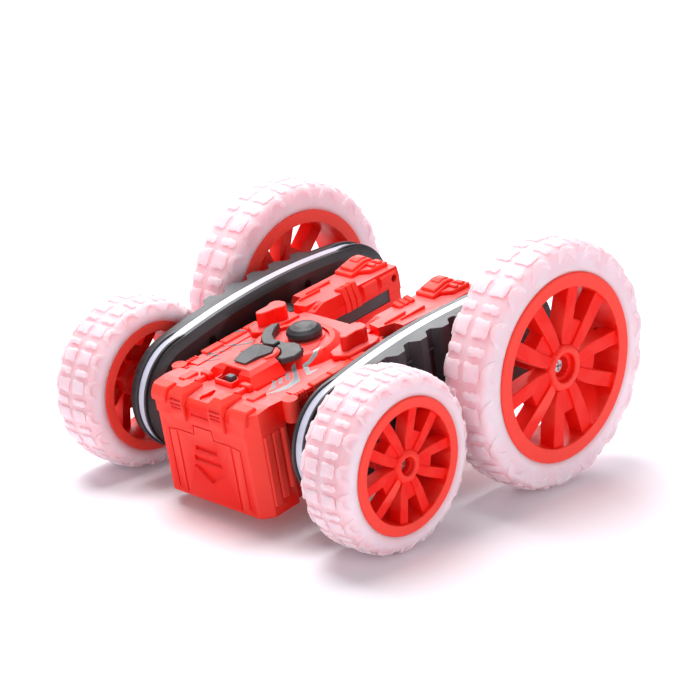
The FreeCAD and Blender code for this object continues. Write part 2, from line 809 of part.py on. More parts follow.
def build_upper_shell():
    """Top shell: front deck, hood, cockpit ring, side sills, cheeks and the pods' upper halves."""
    skin = dim.skin
    side_half = dim.sill_half - 1.0
    deck_section = [
        (-side_half, 15.0),
        (-dim.tub_half, 13.0),
        (-dim.tub_half, dim.parting_w),
        (dim.tub_half, dim.parting_w),
        (dim.tub_half, 13.0),
        (side_half, 15.0),
        (side_half, 18.8),
        (28.0, dim.deck_w),
        (-28.0, dim.deck_w),
        (-side_half, 18.8),
    ]
    deck = prism("deck", "XZ", deck_section, dim.nose_back - 1, 6.0)
    ring = doc.addObject("Part::Cone", "cockpit_ring")
    bind(ring, "Radius1", dim.cockpit_radius + 5.0)
    bind(ring, "Radius2", dim.cockpit_radius)
    bind(ring, "Height", dim.cockpit_w - 19.0)
    bind(ring, "Placement.Base.y", dim.cockpit_u)
    bind(ring, "Placement.Base.z", Size(19.0))
    apron = prism("rear_apron", "XY", [(-24, -6), (24, -6), (20, 6.6), (-20, 6.6)], 15, 21.0, 0.4)
    left = [build_cheek(), build_sill(), build_pod_top()]
    pieces = [build_brow(), deck, build_hood(), ring, apron] + build_pod_steps(1) + build_pod_steps(-1)
    for piece in left:
        pieces += both_sides(piece.Name, piece)
    solid = fuse("upper_solid", pieces)

    inner, outer = dim.pod_centre - dim.pod_half, dim.pod_centre + dim.pod_half
    room = prism("upper_nose_room", "XY", nose_outline(skin), 0, dim.deck_w - skin + 0.4)
    deck_room = block(
        "deck_room",
        (skin - dim.tub_half, dim.tub_half - skin),
        (-62, dim.fork_u - skin),
        (0, dim.deck_w - skin),
    )
    hood_room = block("hood_room", (-6.5, 6.5), (-52, -36), (10, 24.4))
    pod_room = prism(
        "upper_pod_room",
        "XZ",
        [
            (inner + skin, 8),
            (inner + skin, 16.2),
            (inner + skin + 1, 19.6),
            (outer - skin - 1, 19.6),
            (outer - skin, 18.0),
            (outer - skin, 8),
        ],
        15,
        dim.tail_u - skin,
    )
    fork = block("upper_fork_gap", (1.5 - inner, inner - 1.5), (dim.fork_u, 70), (-10, 40))
    bowl = rod("cockpit_bowl", "w", (0, dim.cockpit_u), dim.cockpit_radius - 2.2, 21.8, 30)
    recess = block("switch_recess", (-4.5, 4.5), (-60.9, -54.4), (22.3, 30))
    window = block("switch_window", (-4.1, 4.1), (-60.4, -56.6), (10, 30))
    keyhole = rod("deck_keyhole", "w", (0, -72.2), 2.5, 19.2, 30)
    tail_plan = [(-2.4, -72), (2.4, -72), (0.7, -66.4), (-0.7, -66.4)]
    key_tail = prism("keyhole_tail", "XY", tail_plan, 19.2, 30)
    front_slot = block("front_slot", (-5, 5), (-80, dim.nose_u + 0.1), (13.4, 14.4))
    pod_hole = rod("pod_hole", "x", (56.0, 17.2), 1.9, inner - 3, inner + 4)
    cutters = [room, deck_room, hood_room, fork, bowl, recess, window, keyhole, key_tail, front_slot]
    cutters += both_sides("upper_pod_room", pod_room) + both_sides("pod_hole", pod_hole)
    ring_room = rod("ring_room", "x", (dim.pivot_u, 0), 12.0, dim.stub_inside - 0.1, dim.tub_half - 2.9)
    cutters += hub_clearance("upper_drum_room") + slot_cutters("upper_slot")
    cutters += both_sides("ring_room", ring_room)
    hollow = cut("upper_hollow", solid, cutters)
    seat = rod("helmet_seat", "w", (0, dim.helmet_u), 8.6, 17, 22.6)
    cheek_seat = rod("collar_seat", "w", (0, dim.cockpit_u - 2), 12.0, 17.2, 22.2)
    finish(fuse("upper_joined", [hollow, seat, cheek_seat]), "upper_shell", LEVEL)


def build_latches():
    """Two moulded clips that hook the top shell over the nose, with finger grooves."""
    side = [
        (dim.nose_u - 0.6, 9.8),
        (-78.6, 10.4),
        (-79.0, 18.6),
        (-77.6, 22.2),
        (-75.3, 24.3),
        (-68.8, 24.0),
        (-66.0, 22.2),
        (-66.0, 21.3),
        (-75.0, 20.6),
        (dim.nose_u - 0.6, 17.4),
    ]
    plan = prism(
        "latch_section",
        "XZ",
        [(7.8, 8), (15.7, 8), (15.7, 22.2), (13.2, 25), (10.2, 25), (7.8, 22.2)],
        -80,
        -65,
    )
    clip = common("latch_clip", [plan, prism("latch_side", "YZ", side, 7, 17)])
    cuts = []
    for i in range(3):
        low = 15.6 + 1.7 * i
        deep = (-80.5, -78.2 + 0.25 * i)
        cuts.append(block(f"latch_groove_{i}", (8.8, 14.8), deep, (low, low + 0.7)))
    grooved = cut("latch_grooved", clip, cuts)
    finish(fuse("latch_pair", both_sides("latch_grooved", grooved)), "front_clips", LEVEL)


def build_driver():
    """Hood scoop, driver's collar and helmet, and the switch knob and its housing."""
    scoop_plan = [(-3.4, -51.2), (3.4, -51.2), (6.3, -39.0), (5.2, -36.0), (-5.2, -36.0), (-6.3, -39.0)]
    scoop_side = [(-52, 26), (-52, 27.2), (-39, 29.4), (-35.4, 28.0), (-35.4, 26)]
    scoop_front = [(-8, 26), (-8, 27.0), (-6.2, 27.7), (0, 29.6), (6.2, 27.7), (8, 27.0), (8, 26)]
    scoop = common(
        "scoop",
        [
            prism("scoop_plan", "XY", scoop_plan, dim.hood_w + 0.02, 31),
            prism("scoop_side", "YZ", scoop_side, -9, 9),
            prism("scoop_front", "XZ", scoop_front, -53, -34),
        ],
    )
    finish(scoop, "hood_scoop", LEVEL)

    profile = [(0, 22.6), (6.2, 22.6), (7.4, 23.4), (7.8, 24.6), (7.4, 26.0), (5.8, 27.3), (3.2, 28.1)]
    profile += [(0, 28.4)]
    body = turned("helmet", profile)
    lift = FreeCAD.Placement(Vector(0, number(dim.helmet_u), 0), Rotation())
    finish(body, "driver_helmet", LEVEL.multiply(lift))

    top = 26.2
    far_plan = [(-0.6, -31.0), (-5.4, -32.2), (-10.4, -29.0), (-15.2, -22.6), (-16.2, -16.8), (-13.8, -14.4)]
    far_plan += [(-11.6, -19.2), (-8.2, -24.0), (-4.2, -26.6), (-0.6, -27.2)]
    near_plan = [(0.6, -31.1), (4.7, -32.4), (7.8, -35.0), (9.4, -39.2), (12.0, -38.9), (15.2, -33.4)]
    near_plan += [(14.2, -28.4), (9.0, -24.6), (5.4, -24.2), (0.6, -27.4)]
    far_wing = prism("collar_far", "XY", far_plan, 23.42, top, 0.6, top_edges(top))
    near_wing = prism("collar_near", "XY", near_plan, 23.42, top - 0.4, 0.9, top_edges(top - 0.4))
    foot_plan = [(-9, -30.2), (9, -30.2), (10.4, -24.6), (-10.4, -24.6)]
    foot = prism("collar_foot", "XY", foot_plan, 22.24, 24.4)
    finish(fuse("collar", [far_wing, near_wing, foot]), "driver_collar", LEVEL)

    body_box = block("switch_case", (-4.6, 4.6), (-60.6, -56.4), (board_top(), 17.7))
    pocket = block("switch_pocket", (-3.9, 3.9), (-59.6, -57.4), (16.6, 20))
    finish(cut("switch_cut", body_box, [pocket]), "switch_housing", LEVEL)
    stem = block("knob_stem", (0.2, 3.6), (-59.4, -57.6), (16.7, 22.6))
    cap = block("knob_cap", (-0.1, 3.9), (-60.1, -56.9), (22.5, 24.9), 0.4)
    finish(fuse("knob", [stem, cap]), "switch_knob", LEVEL)


def board_top():
    """Upper face of the control board."""
    return dim.board_w + 1.6


def build_electronics():
    """Control board with its chips, and the two-cell battery pack lying across the nose."""
    board = block("board_plate", (-23, 23), (-61, -4), (dim.board_w, board_top()))
    parts = [board]
    chips = ((-15, -48, 8, 8, 1.4), (6, -34, 10, 6, 1.4), (-18, -22, 5, 12, 1.8), (10, -50, 4, 4, 1.9))
    for i, (x, u, wide, long, high) in enumerate(chips):
        stand = (board_top() - 0.1, board_top() + high)
        parts.append(block(f"chip_{i}", (x, x + wide), (u, u + long), stand))
    finish(fuse("board", parts), "control_board", LEVEL)

    half = dim.cell_length * 0.5
    low_w, high_w = -18.0, -3.6
    cells = [
        rod(f"cell_{i}", "x", (dim.cell_u, w), dim.cell_radius, -half, half)
        for i, w in enumerate((low_w, high_w))
    ]
    wrap = block("cell_wrap", (-half, half), (dim.cell_u - 6.9, dim.cell_u + 6.9), (low_w, high_w))
    finish(fuse("cells", cells + [wrap]), "battery_pack", LEVEL)


def build_tail_inlays():
    """Dark strips set in the fork's inner walls."""
    wall = dim.pod_centre - dim.pod_half
    strip = block(
        "inlay",
        (wall + 0.35, wall + 0.85),
        (dim.slot_front + 0.1, dim.slot_back - 0.1),
        (dim.slot_low + 0.1, dim.slot_high - 0.1),
    )
    finish(fuse("inlay_pair", both_sides("inlay", strip)), "tail_inlays", LEVEL)


# ---------------------------------------------------------------- arms


def arm_plate(name, low, high, inset, hole_inset=None):
    """Slab of the arm's outline between two x positions, or a ring of it."""
    body = doc.addObject("PartDesign::Body", free_name(name))
    sketch = start_sketch(body, name + "_outline", "YZ_Plane", low)
    draw_arm_outline(sketch, inset)
    if hole_inset is not None:
        draw_arm_outline(sketch, hole_inset)
    pad(body, sketch, Size.of(high) - low)
    return body


def end_rib(name, low, high):
    """Thin raised ribs round both ends of the arm's edge."""
    ribs = []
    for side in (-1, 1):
        centre = dim.pivot_u + side * dim.arm_end_u
        crest, root = dim.arm_end_radius + dim.rib_high, dim.arm_end_radius - 0.6
        outer = rod(f"{name}_{side + 1}", "x", (centre, 0), crest, low, high)
        inner = rod(f"{name}_hole_{side + 1}", "x", (centre, 0), root, low - 1, high + 1)
        ring = cut(f"{name}_ring_{side + 1}", outer, [inner])
        reach = (centre - 40, centre + 3.2) if side < 0 else (centre - 3.2, centre + 40)
        keep = block(f"{name}_keep_{side + 1}", (low - 1, high + 1), reach, (-40, 40))
        ribs.append(common(f"{name}_part_{side + 1}", [ring, keep]))
    return ribs


def gear_places():
    """Axis of each gear in (u, w), worked out from the pitch radii so that every pair meshes."""
    module = DIMENSIONS["gear_module"]
    pivot = DIMENSIONS["pivot_u"]

    def spread(teeth_a, teeth_b):
        return module * (teeth_a + teeth_b) / 2

    step = spread(PINION_TEETH, REDUCTION_TEETH)
    places = {
        "pinion": (pivot, 0.0),
        "front_reduction": (pivot - step, 0.0),
        "rear_reduction": (pivot + step, 0.0),
        "front_wheel": (-axle_reach, 0.0),
        "rear_wheel": (axle_reach, 0.0),
    }
    for end, teeth, wheel_teeth in (
        ("front", FRONT_IDLER_TEETH, FRONT_WHEEL_TEETH),
        ("rear", REAR_IDLER_TEETH, REAR_WHEEL_TEETH),
    ):
        near_u = places[end + "_reduction"][0]
        far_u = places[end + "_wheel"][0]
        span = abs(far_u - near_u)
        first = spread(SMALL_TEETH, teeth)
        second = spread(teeth, wheel_teeth)
        along = (span ** 2 + first ** 2 - second ** 2) / (2 * span)
        offset = math.sqrt(first ** 2 - along ** 2)
        direction = 1 if far_u > near_u else -1
        places[end + "_idler"] = (near_u + direction * along, offset)
    return places


PLACES = gear_places()
ARM_SCREWS = ((-30, 18.5), (-30, -18.5), (29, 20), (29, -20))


def build_inner_shell():
    """Arm's inner shell: dished face, drum and stub that swing in the body, pin and screw bosses."""
    face = dim.arm_inside
    plate = arm_plate("inner_plate", face, dim.strip_inside, 0)
    tip = plate.Tip
    names = []
    for i, edge in enumerate(tip.Shape.Edges, start=1):
        if all(abs(vertex.Point.x - number(face)) < 0.01 for vertex in edge.Vertexes):
            names.append(f"Edge{i}")
    bevel = plate.newObject("PartDesign::Chamfer", "inner_bevel")
    bevel.Base = (tip, names)
    bevel.ChamferType = 1
    bevel.FlipDirection = False
    bevel.Size = 2.4
    bevel.Size2 = 3.2
    doc.recompute()
    plate.Tip = bevel
    room = arm_plate("inner_room", face + dim.skin + 1.6, dim.strip_inside + 1, 2.2)
    deep_room = arm_plate("inner_deep_room", face + dim.skin, dim.strip_inside, 5.6)
    dish = cut("inner_dish", plate, [room, deep_room])

    pivot = (dim.pivot_u, 0)
    drum = rod("drum", "x", pivot, dim.drum_radius, dim.drum_inside, face + dim.skin)
    drum_room = rod("drum_room", "x", pivot, dim.drum_radius - 2, dim.drum_inside + 2, face + 4)
    stub = rod("stub", "x", pivot, dim.stub_radius, dim.stub_inside, face + dim.skin)
    bosses = []
    bores = []
    for i, (u, w) in enumerate(ARM_SCREWS):
        bosses.append(rod(f"inner_post_{i}", "x", (u, w), 2.6, face + 0.5, 47.7))
        bores.append(rod(f"inner_screw_hole_{i}", "x", (u, w), 1.15, face - 1, 60))
        bores.append(rod(f"inner_screw_well_{i}", "x", (u, w), 2.2, face - 1, face + 1.6))
    for end in ("front", "rear"):
        axle = PLACES[end + "_wheel"]
        bosses.append(rod(f"inner_axle_boss_{end}", "x", axle, 4.2, face + 0.5, 44.9))
        bores.append(rod(f"inner_axle_bore_{end}", "x", axle, dim.axle_radius + dim.run_gap, face - 1, 60))
    for name in ("front_reduction", "rear_reduction", "front_idler"):
        bosses.append(rod(f"inner_pin_boss_{name}", "x", PLACES[name], 2.4, face + 0.5, 45.0))
        bores.append(rod(f"inner_pin_bore_{name}", "x", PLACES[name], dim.pin_radius, face + 1, 60))
    ribs = end_rib("inner_rib", 44.4, dim.strip_inside)
    drum_shell = cut("drum_shell", drum, [drum_room])
    body = fuse("inner_body", [dish, drum_shell, stub] + bosses + ribs)
    bores.append(rod("motor_bore", "x", pivot, dim.motor_radius + 0.1, dim.stub_inside - 1, 60))
    finish_pair(cut("inner_cut", body, bores), "arm_inner_shell")


def cover_outline():
    """Plan of the outer cover: flat at the ends, with a row of square-cut teeth between."""
    points = [(dim.strip_outside, -72), (dim.cover_root, -72)]
    for i in range(TOOTH_COUNT):
        middle = dim.first_tooth_u + i * dim.tooth_pitch
        crest = dim.tooth_crest * 0.5
        points += [
            (dim.cover_root, middle - crest - dim.tooth_ramp),
            (dim.cover_crest, middle - crest),
            (dim.cover_crest, middle + crest),
            (dim.cover_root, middle + crest + dim.tooth_ramp),
        ]
    points += [(dim.cover_root, 84), (dim.strip_outside, 84)]
    return points


def build_outer_cover():
    """Arm's outer cover with the moulded track teeth, axle bosses and small nubs."""
    column = prism("cover_column", "XY", cover_outline(), -32, 32)
    envelope = arm_plate("cover_envelope", dim.strip_outside, dim.cover_crest + 1, 0)
    block_out = common("cover_block", [column, envelope])
    room = arm_plate("cover_room", dim.strip_outside - 1, dim.cover_floor, 2.2)
    hollow = cut("cover_hollow", block_out, [room])
    extras = end_rib("outer_rib", dim.strip_outside, 51.1)
    for i in range(TOOTH_COUNT - 1):
        middle = dim.first_tooth_u + (i + 0.5) * dim.tooth_pitch
        for w in (-20.7, 20.7):
            tag = f"nub_{i}_{'low' if w < 0 else 'high'}"
            across = (dim.cover_root - 0.5, dim.cover_root + 1.1)
            extras.append(block(tag, across, (middle - 1.6, middle + 1.6), (w - 0.6, w + 0.6), 0.3))
    bores = []
    for end in ("front", "rear"):
        axle = PLACES[end + "_wheel"]
        extras.append(rod(f"cover_boss_{end}", "x", axle, 6.0, dim.cover_floor, 55.6))
        bores.append(rod(f"cover_bore_{end}", "x", axle, dim.axle_radius + dim.run_gap, 45, 60))
    for name in ("front_reduction", "rear_reduction", "front_idler", "rear_idler"):
        low = 50.9
        extras.append(rod(f"cover_pin_boss_{name}", "x", PLACES[name], 2.4, low, dim.cover_floor + 0.5))
        bores.append(rod(f"cover_pin_bore_{name}", "x", PLACES[name], dim.pin_radius, 45, 54.0))
    for i, (u, w) in enumerate(ARM_SCREWS):
        extras.append(rod(f"cover_post_{i}", "x", (u, w), 2.6, 47.9, dim.cover_floor + 0.5))
        bores.append(rod(f"cover_screw_hole_{i}", "x", (u, w), 1.15, 46, 53.0))
    body = fuse("cover_body", [hollow] + extras)
    finish_pair(cut("cover_cut", body, bores), "arm_outer_cover")


def outline_point(angle_share, inset):
    """Point on the arm's outline and its outward direction; the share runs once round from the rear."""
    reach = DIMENSIONS["arm_end_u"]
    end_radius = DIMENSIONS["arm_end_radius"]
    flank = DIMENSIONS["arm_flank_radius"]
    drop = math.sqrt((flank - end_radius) ** 2 - reach ** 2)
    lean = math.atan2(drop, reach)
    flank_run = flank * (math.pi - 2 * lean)
    end_run = end_radius * 2 * lean
    travel = (angle_share % 1.0) * 2 * (flank_run + end_run) - end_run / 2
    pieces = (
        (reach, 0, end_radius, -lean, end_run),
        (0, -drop, flank, lean, flank_run),
        (-reach, 0, end_radius, math.pi - lean, end_run),
        (0, drop, flank, math.pi + lean, flank_run),
    )
    travel += end_run / 2 if travel < 0 else 0
    for u, w, radius, start, run in pieces:
        if travel <= run:
            angle = start + travel / radius
            place = (u + (radius - inset) * math.cos(angle), w + (radius - inset) * math.sin(angle))
            return DIMENSIONS["pivot_u"] + place[0], place[1], angle
        travel -= run
    return outline_point(0, inset)


LED_COUNT = 18


def build_strip_and_leds():
    """Clear strip round the arm's edge, and the flexible board of LEDs behind it."""
    low = dim.strip_inside + dim.gap
    high = dim.strip_outside - dim.gap
    strip = arm_plate("strip", low, high, 0.1, 0.1 + dim.strip_thick)
    finish_pair(strip, "light_strip")
    pieces = [arm_plate("led_tape", 46.2, 49.3, 2.9, 3.3)]
    for i in range(LED_COUNT):
        u, w, angle = outline_point((i + 0.5) / LED_COUNT, 2.45)
        led = doc.addObject("Part::Box", f"led_{i}")
        turn = Rotation(Vector(1, 0, 0), math.degrees(angle) - 90)
        led.Length, led.Width, led.Height = 2.4, 3.4, 1.0
        corner = turn.multVec(Vector(0, -1.7, -0.5))
        led.Placement = FreeCAD.Placement(Vector(46.55, u, w) + corner, turn)
        pieces.append(led)
    finish_pair(fuse("led_set", pieces), "led_strip")


def build_motor():
    """Flat-sided motor can that sits in the drum's stub."""
    pivot = (dim.pivot_u, 0)
    can = rod("motor_can", "x", pivot, dim.motor_radius, dim.motor_inside, 44.0)
    flats = block("motor_flats", (20, 50), (-20, 30), (-6.0, 6.0))
    nose = rod("motor_nose", "x", pivot, 2.4, 43.5, 44.7)
    cap = rod("motor_cap", "x", pivot, 2.4, dim.motor_inside - 0.9, dim.motor_inside + 0.5)
    body = fuse("motor_body", [common("motor_flattened", [can, flats]), nose, cap])
    bore = rod("motor_shaft_bore", "x", pivot, 0.8, 42.0, 46)
    finish_pair(cut("motor_cut", body, [bore]), "drive_motor")


def tooth_ring(teeth, phase):
    """Closed outline of straight-flanked teeth in the (u, w) plane, one centred on the phase."""
    module = DIMENSIONS["gear_module"]
    pitch_radius = module * teeth / 2
    tip = pitch_radius + module * 0.95
    root = pitch_radius - module * 1.2
    share = math.pi / teeth
    points = []
    for i in range(teeth):
        middle = phase + 2 * share * i
        for radius, half in ((root, 0.62), (tip, 0.22), (tip, -0.22), (root, -0.62)):
            angle = middle - share * half
            points.append(Vector(0, radius * math.cos(angle), radius * math.sin(angle)))
    return points


def toothed_disc(teeth, phase, low, high):
    """Gear blank between two x positions, its axis on the x axis."""
    outline = [point + Vector(low, 0, 0) for point in tooth_ring(teeth, phase)]
    face = Part.Face(Part.makePolygon(outline + outline[:1]))
    return face.extrude(Vector(high - low, 0, 0))


def mesh_phase(place_a, teeth_a, phase_a, place_b, teeth_b):
    """Phase of gear b that puts its gap on gear a's tooth along the line of centres."""
    theta = math.atan2(place_b[1] - place_a[1], place_b[0] - place_a[0])
    return theta + math.pi + (theta - phase_a) * teeth_a / teeth_b - math.pi / teeth_b


def disc(radius, low, high):
    """Plain cylinder along x."""
    return Part.makeCylinder(radius, high - low, Vector(low, 0, 0), Vector(1, 0, 0))


def place_gear(shape, label, place):
    """Adds a gear on its axis as a pair of sub-parts; its toothed shape has no primitive."""
    item = doc.addObject("Part::Feature", free_name("left_" + label))
    item.Shape = shape
    item.Placement = LEVEL.multiply(FreeCAD.Placement(Vector(0, *place), Rotation()))
    item.Label = "left_" + label
    sub_parts.append(item)
    finish(mirror("right_" + label, item), "right_" + label)


def build_gears():
    """The whole train: pinion, two compound reductions, two idlers and two wheel gears."""
    size = DIMENSIONS
    pin_bore = size["pin_radius"] + size["run_gap"]
    low, high = size["pinion_low"], size["pinion_high"]
    train_low, train_high = size["train_low"], size["train_high"]
    pinion = toothed_disc(PINION_TEETH, 0.0, low, high)
    spindle = disc(0.75, 42.3, high + 0.2)
    place_gear(pinion.fuse(spindle), "motor_pinion", PLACES["pinion"])
    for end, idler_teeth, wheel_teeth in (
        ("front", FRONT_IDLER_TEETH, FRONT_WHEEL_TEETH),
        ("rear", REAR_IDLER_TEETH, REAR_WHEEL_TEETH),
    ):
        reduction_at = PLACES[end + "_reduction"]
        idler_at = PLACES[end + "_idler"]
        wheel_at = PLACES[end + "_wheel"]
        big_phase = mesh_phase(PLACES["pinion"], PINION_TEETH, 0.0, reduction_at, REDUCTION_TEETH)
        idler_phase = mesh_phase(reduction_at, SMALL_TEETH, 0.0, idler_at, idler_teeth)
        wheel_phase = mesh_phase(idler_at, idler_teeth, idler_phase, wheel_at, wheel_teeth)
        big = toothed_disc(REDUCTION_TEETH, big_phase, low, high)
        small = toothed_disc(SMALL_TEETH, 0.0, high, train_high)
        pair = big.fuse(small).cut(disc(pin_bore, 40, 60))
        place_gear(pair, end + "_reduction_gear", reduction_at)
        idler = toothed_disc(idler_teeth, idler_phase, train_low, train_high)
        if end == "front":
            idler = idler.fuse(disc(2.2, 45.2, train_low))
        place_gear(idler.cut(disc(pin_bore, 40, 60)), end + "_idler_gear", idler_at)
        wheel = toothed_disc(wheel_teeth, wheel_phase, train_low, train_high)
        collars = disc(3.8, 45.1, train_low).fuse(disc(3.8, train_high, 52.5))
        bore = disc(size["axle_radius"], 40, 60)
        place_gear(wheel.fuse(collars).cut(bore), end + "_wheel_gear", wheel_at)


def build_pins_and_screws():
    """Gear pins, arm screws and the ring that keeps the arm's stub in the body."""
    pins = []
    for name in ("front_reduction", "rear_reduction", "front_idler"):
        pins.append(rod(f"pin_{name}", "x", PLACES[name], dim.pin_radius, dim.arm_inside + 1.1, 53.9))
    pins.append(rod("pin_rear_idler", "x", PLACES["rear_idler"], dim.pin_radius, 47.95, 53.9))
    finish_pair(fuse("pin_set", pins), "gear_pins")
    screws = []
    for i, (u, w) in enumerate(ARM_SCREWS):
        head = rod(f"arm_head_{i}", "x", (u, w), 2.1, dim.arm_inside + 0.3, dim.arm_inside + 1.6)
        shank = rod(f"arm_shank_{i}", "x", (u, w), 1.1, dim.arm_inside + 1.6, 52.4)
        deep = (dim.arm_inside, dim.arm_inside + 0.9)
        slot = block(f"arm_slot_{i}", deep, (u - 1.4, u + 1.4), (w - 0.25, w + 0.25))
        cross = block(f"arm_cross_{i}", deep, (u - 0.25, u + 0.25), (w - 1.4, w + 1.4))
        screws.append(cut(f"arm_screw_{i}", fuse(f"arm_blank_{i}", [head, shank]), [slot, cross]))
    finish_pair(fuse("arm_screw_set", screws), "arm_screws")
    outside = dim.tub_half - 3.0
    ring = rod("ring_blank", "x", (dim.pivot_u, 0), 11.6, dim.stub_inside + 0.2, outside - 0.1)
    hole = rod("ring_hole", "x", (dim.pivot_u, 0), dim.stub_radius + 0.03, 20, 26)
    finish_pair(cut("ring_cut", ring, [hole]), "pivot_ring")


# ---------------------------------------------------------------- wheels


def turned(name, outline):
    """Body turned about its own z axis from a (radius, height) outline."""
    body = doc.addObject("PartDesign::Body", free_name(name))
    sketch = start_sketch(body, f"{name}_profile", "XZ_Plane", 0)
    draw_outline(sketch, outline)
    spin = body.newObject("PartDesign::Revolution", free_name(f"{name}_turned"))
    spin.Profile = sketch
    spin.ReferenceAxis = (sketch, ["V_Axis"])
    spin.Angle = 360
    doc.recompute()
    body.Tip = spin
    return body


class Wheel:
    """Sizes of one wheel; heights run inwards from the rim's outer face as negative numbers."""

    def __init__(self, end):
        self.end = end
        self.outside = getattr(dim, end + "_rim_outside")
        self.width = getattr(dim, end + "_rim_width")
        self.lip = getattr(dim, end + "_lip_radius")
        self.opening = getattr(dim, end + "_opening")
        self.hub = getattr(dim, end + "_hub_radius")
        self.bore = getattr(dim, end + "_bore_radius")
        self.tyre = getattr(dim, end + "_tyre_radius")
        self.seat = self.lip - 3.4
        self.hub_end = dim.hub_inside - self.outside
        side = -1 if end == "front" else 1
        y = DIMENSIONS["axle_mid_y"] + side * DIMENSIONS["wheel_base"] / 2
        facing = Rotation(Vector(1, 0, 1), 180)
        self.place = FreeCAD.Placement(Vector(number(self.outside), y, number(self.tyre)), facing)

    def finish_pair(self, item, label):
        left = finish(item, f"left_{self.end}_{label}", self.place)
        finish(mirror(f"right_{self.end}_{label}", left), f"right_{self.end}_{label}")


def spoke_outlines(scale):
    """Left ridge, right ridge and web of one spoke pointing along x, for the front wheel's size."""
    outer = [(6.3, 4.0), (10.0, 5.6), (14.0, 6.8), (19.0, 8.0), (22.9, 8.8)]
    inner = [(6.4, 0.5), (10.0, 1.4), (14.4, 2.4), (19.4, 3.5), (23.6, 4.4)]
    ridge = inner + outer[::-1]
    web = [(6.2, -2.6), (9.5, -4.4), (14.4, -4.8), (14.4, 4.8), (9.5, 4.4), (6.2, 2.6)]
    mirrored = [(r, -y) for r, y in ridge]
    return [[(r * scale, y * scale) for r, y in shape] for shape in (ridge, mirrored, web)]


def build_spokes(wheel):
    """Five forked spokes, each two ridges with a lower web between them near the hub."""
    front = wheel.end == "front"
    scale = 1.0 if front else number(wheel.opening) / number(dim.front_opening)
    depth = 6.0 if front else 7.5
    ridge_top, web_top = Size(-1.4), Size(-2.0 if front else -2.3)
    pieces = []
    for k in range(SPOKE_GROUPS):
        angle = 2 * math.pi * k / SPOKE_GROUPS + math.radians(SPOKE_PHASE)
        cos, sin = math.cos(angle), math.sin(angle)
        for i, outline in enumerate(spoke_outlines(scale)):
            turned_outline = [(x * cos - y * sin, x * sin + y * cos) for x, y in outline]
            top = ridge_top if i < 2 else web_top
            name = f"{wheel.end}_spoke_{k}_{i}"
            pick = top_edges(number(top))
            pieces.append(prism(name, "XY", turned_outline, top - depth, top, 0.3 * scale, pick))
    return pieces


def top_edges(level):
    """Picks the edges that lie in the plane at a level."""

    def pick(edge):
        return all(abs(vertex.Point.z - level) < 0.01 for vertex in edge.Vertexes)

    return pick


def build_rim(wheel):
    """Rim with a lip on each face, a stepped hub and five forked spokes; the rear one has a vent hole."""
    width, lip, opening, seat = wheel.width, wheel.lip, wheel.opening, wheel.seat
    barrel = [
        (opening, -0.3),
        (opening + 0.3, 0),
        (lip - 0.5, 0),
        (lip, -0.5),
        (lip, -1.6),
        (seat + 0.8, -2.8),
        (seat, -5.5),
        (seat, 5.5 - width),
        (seat + 0.8, 2.8 - width),
        (lip, 1.6 - width),
        (lip, -width),
        (opening + 0.6, -width),
        (opening - 0.1, 6.0 - width),
        (opening - 0.3, -9.0),
    ]
    core = dim.axle_radius + 2.6
    step = 0.5 if wheel.end == "front" else 1.8
    hub = [
        (wheel.bore, -0.9),
        (wheel.bore + 0.5, -0.5),
        (wheel.hub - 2.4, -0.5),
        (wheel.hub - 1.2, -0.8),
        (wheel.hub - 0.4, -1.5),
        (wheel.hub, -2.6),
        (wheel.hub, -12.5),
        (core + 0.6, -14.5),
        (core, wheel.hub_end),
        (dim.axle_radius, wheel.hub_end),
        (dim.axle_radius, -dim.bore_depth),
        (wheel.bore - step, -dim.bore_depth),
        (wheel.bore - step, -3.2),
        (wheel.bore, -2.8),
    ]
    pieces = [turned(f"{wheel.end}_barrel", barrel), turned(f"{wheel.end}_hub", hub)]
    blank = fuse(f"{wheel.end}_rim_blank", pieces + build_spokes(wheel))
    if wheel.end == "front":
        wheel.finish_pair(blank, "rim")
        return
    vent = doc.addObject("Part::Cylinder", f"{wheel.end}_vent")
    bind(vent, "Radius", dim.vent_radius)
    vent.Height = 12
    turn = Rotation(Vector(0, 0, 1), VENT_ANGLE).multiply(Rotation(Vector(0, 1, 0), 90))
    radial = turn.multVec(Vector(0, 0, number(seat) - 5))
    vent.Placement = FreeCAD.Placement(radial + Vector(0, 0, VENT_HEIGHT), turn)
    wheel.finish_pair(cut(f"{wheel.end}_rim_cut", blank, [vent]), "rim")


def build_tyre(wheel):
    """Soft tyre seated between the rim's lips, with rounded shoulders."""
    seat, lip, crown, width = wheel.seat + 0.05, wheel.lip + 0.15, wheel.tyre, wheel.width
    profile = [
        (seat, -5.6),
        (seat + 0.9, -2.95),
        (lip, -1.8),
        (lip, -0.9),
        (lip + 3.2, -0.2),
        (crown - 3.4, -1.6),
        (crown - 1.2, -4.0),
        (crown, -8.0),
        (crown, 8.0 - width),
        (crown - 1.2, 4.0 - width),
        (crown - 3.4, 1.6 - width),
        (lip + 3.2, 0.2 - width),
        (lip, 0.9 - width),
        (lip, 1.8 - width),
        (seat + 0.9, 2.95 - width),
        (seat, 5.6 - width),
    ]
    wheel.finish_pair(turned(f"{wheel.end}_tyre", profile), "tyre")


